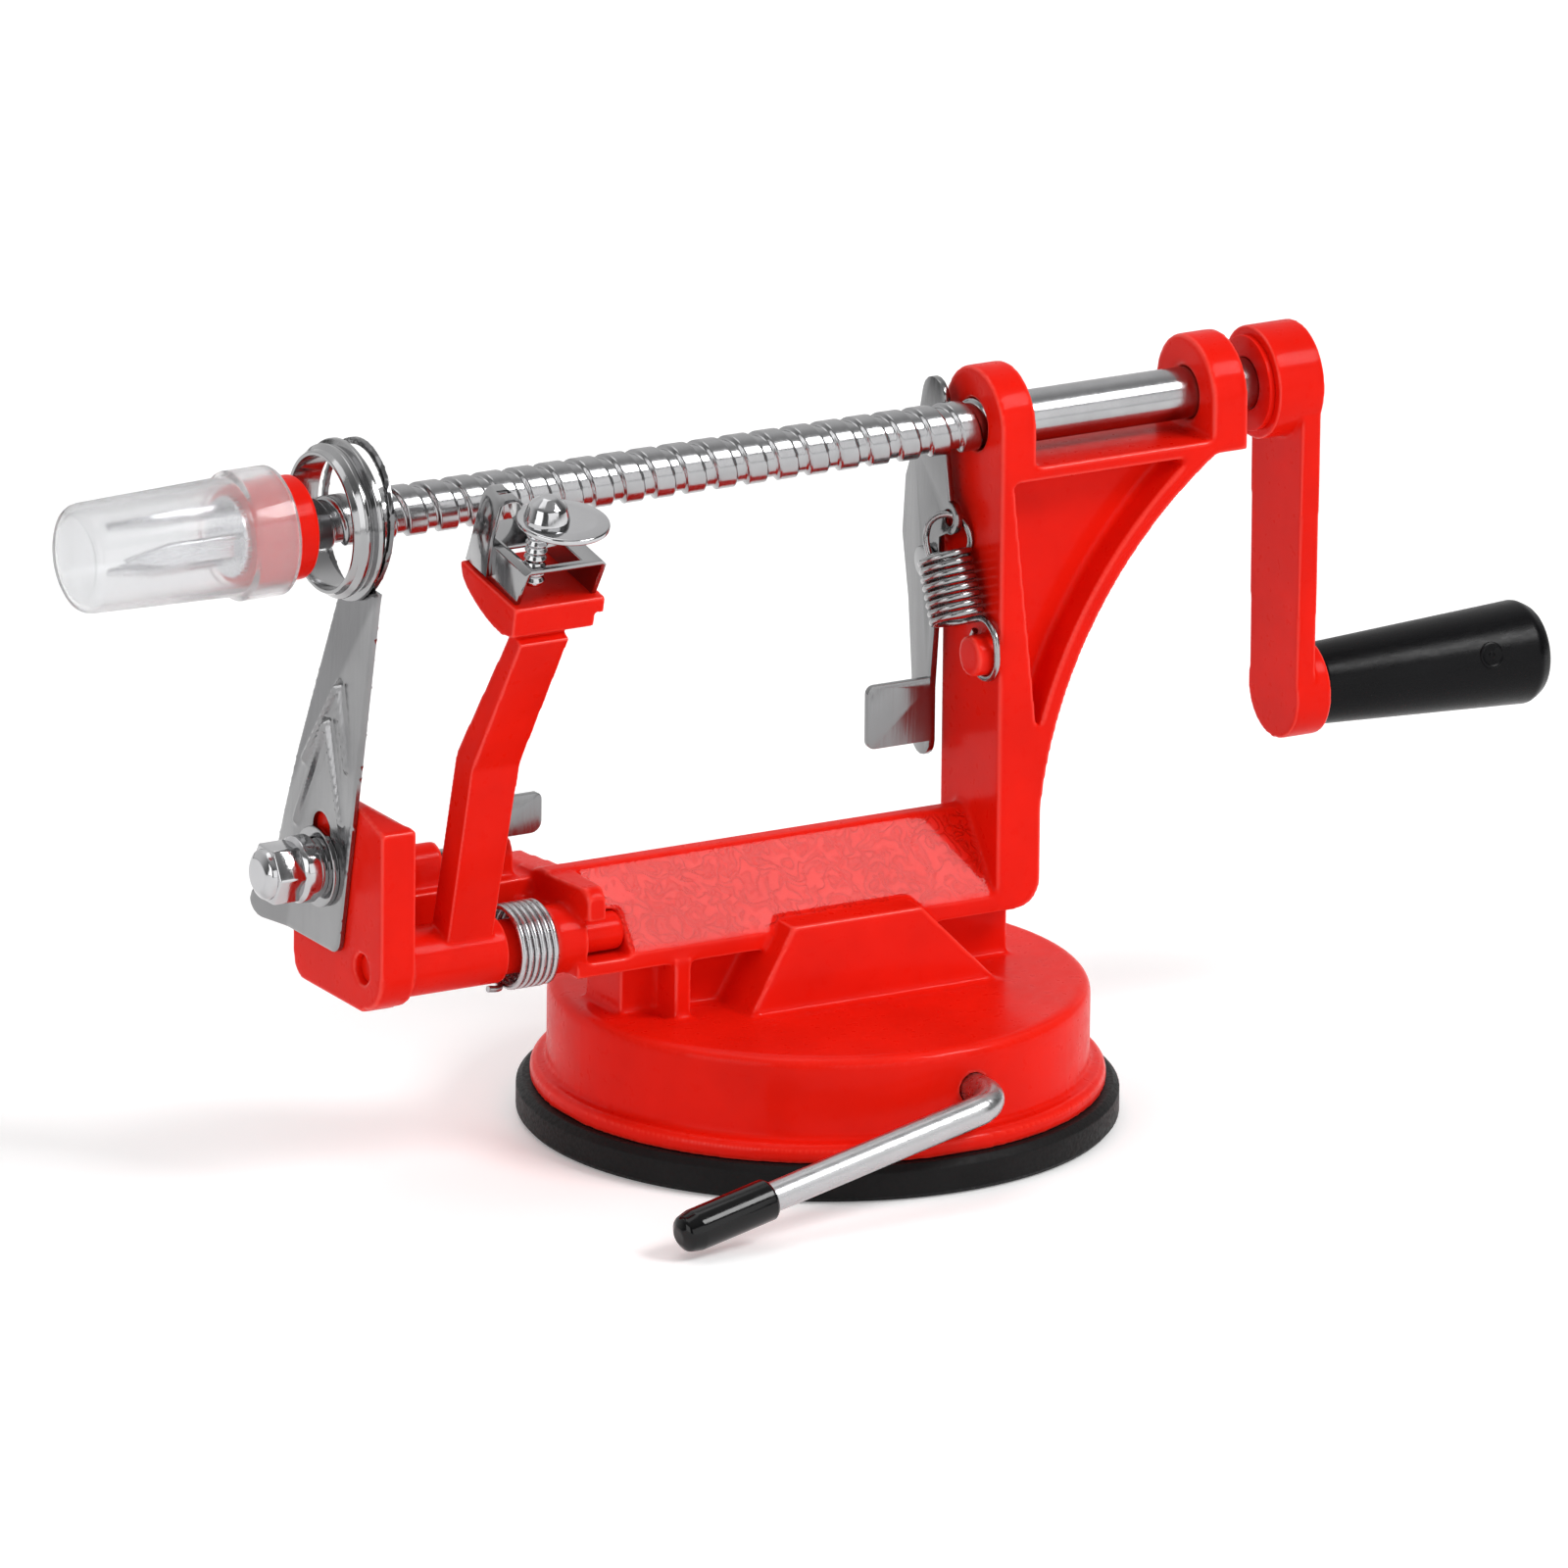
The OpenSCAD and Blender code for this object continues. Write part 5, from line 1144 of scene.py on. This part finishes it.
def table_top():
    """A white table that falls off into the room's dark some way from the object."""
    half, top = 6, -0.0002
    mesh = bpy.data.meshes.new("floor")
    mesh.from_pydata([(-half, -half, top), (half, -half, top), (half, half, top),
                      (-half, half, top)], [], [(0, 1, 2, 3)])
    floor = new_object("floor", mesh)
    made, tree = new_material("Pale table")
    does = partial(maths, tree)
    path = add(tree, "ShaderNodeLightPath")
    eye = path["Is Camera Ray"]
    reach = add(tree, "ShaderNodeVectorMath", {0: object_spot(tree)}, operation="LENGTH")["Value"]
    tone = ramp(tree, reach, 0.85, 2.0, 0.95, 0.08)
    # The table's own white for the eye, and for what metal and glass show of it
    seen = does("MAXIMUM", does("MAXIMUM", eye, path["Is Glossy Ray"]), path["Is Transmission Ray"])
    glow = does("MULTIPLY", does("MULTIPLY", seen, 0.2), tone)
    # Beyond the object's shadow the eye sees plain white
    white = does("MULTIPLY_ADD", ramp(tree, reach, 0.5, 1.1), eye, glow)
    dress(tree, Base_Color=tone, Roughness=0.8, Specular_IOR_Level=0.1,
          Emission_Color=(1, 1, 1, 1), Emission_Strength=white)
    mesh.materials.append(made)


def soft_light(name, spot, aim, size, power):
    lamp = bpy.data.lights.new(name, "AREA")
    lamp.shape = "RECTANGLE"
    lamp.size, lamp.size_y = size
    lamp.energy = power
    obj = new_object(name, lamp)
    obj.location = spot
    obj.rotation_mode = "QUATERNION"
    obj.rotation_quaternion = (aim - Vector(spot)).to_track_quat("-Z", "Y")


class PEELER_OT_stage(bpy.types.Operator):
    """Table, light and camera"""

    bl_idname = "peeler.stage"
    bl_label = "Stage"

    def execute(self, context):
        scene = context.scene
        scene.view_settings.view_transform = "Standard"
        stage = scene.peeler_stage
        studio_world()
        table_top()
        aim = Vector(stage.target)
        soft_light("key", (1.05, -1.15, 1.6), aim, (0.9, 0.7), stage.key)
        soft_light("front", (0.2, -2.2, 0.6), aim, (2.6, 1.3), stage.fill)
        soft_light("left", (-1.9, -0.7, 0.6), aim, (1.3, 1.3), stage.fill * 0.75)
        soft_light("overhead", (-0.2, 0.3, 1.9), aim, (1.6, 0.9), stage.fill * 0.36)
        data = bpy.data.cameras.new("camera")
        data.lens = stage.lens
        data.sensor_width = 36
        data.clip_end = 100
        camera = new_object("camera", data)
        turn = rotation(stage.azimuth, "Z") @ rotation(QUARTER - stage.elevation, "X")
        turn = turn @ rotation(stage.roll, "Z")
        camera.matrix_world = shift(aim) @ turn @ shift(Z * stage.distance)
        scene.camera = camera
        return {"FINISHED"}


class PEELER_PT_panel(bpy.types.Panel):
    """The peeler's pieces"""

    bl_idname = "PEELER_PT_panel"
    bl_label = "Apple Peeler"
    bl_space_type = "VIEW_3D"
    bl_region_type = "UI"
    bl_category = "Peeler"

    def draw(self, context):
        for operator in OPERATORS:
            self.layout.operator(operator.bl_idname)
        for name, family in SETTINGS:
            column = self.layout.column()
            for key in family.__annotations__:
                column.prop(getattr(context.scene, name), key)


OPERATORS = (
    PEELER_OT_stage, PEELER_OT_castings, PEELER_OT_shaft, PEELER_OT_fork, PEELER_OT_grip,
    PEELER_OT_base, PEELER_OT_springs, PEELER_OT_sheets, PEELER_OT_fasteners,
)
SETTINGS = (
    ("peeler_paint", PeelerPaint), ("peeler_metal", PeelerMetal),
    ("peeler_plastic", PeelerPlastic), ("peeler_stage", PeelerStage),
)


def register():
    for name, family in SETTINGS:
        bpy.utils.register_class(family)
        setattr(bpy.types.Scene, name, bpy.props.PointerProperty(type=family))
    for made in (*OPERATORS, PEELER_PT_panel):
        bpy.utils.register_class(made)


def unregister():
    for made in reversed((*OPERATORS, PEELER_PT_panel)):
        bpy.utils.unregister_class(made)
    for name, family in reversed(SETTINGS):
        delattr(bpy.types.Scene, name)
        bpy.utils.unregister_class(family)


def main():
    register()
    for operator in OPERATORS:
        area, name = operator.bl_idname.split(".")
        getattr(getattr(bpy.ops, area), name)()


if __name__ == "__main__":
    main()
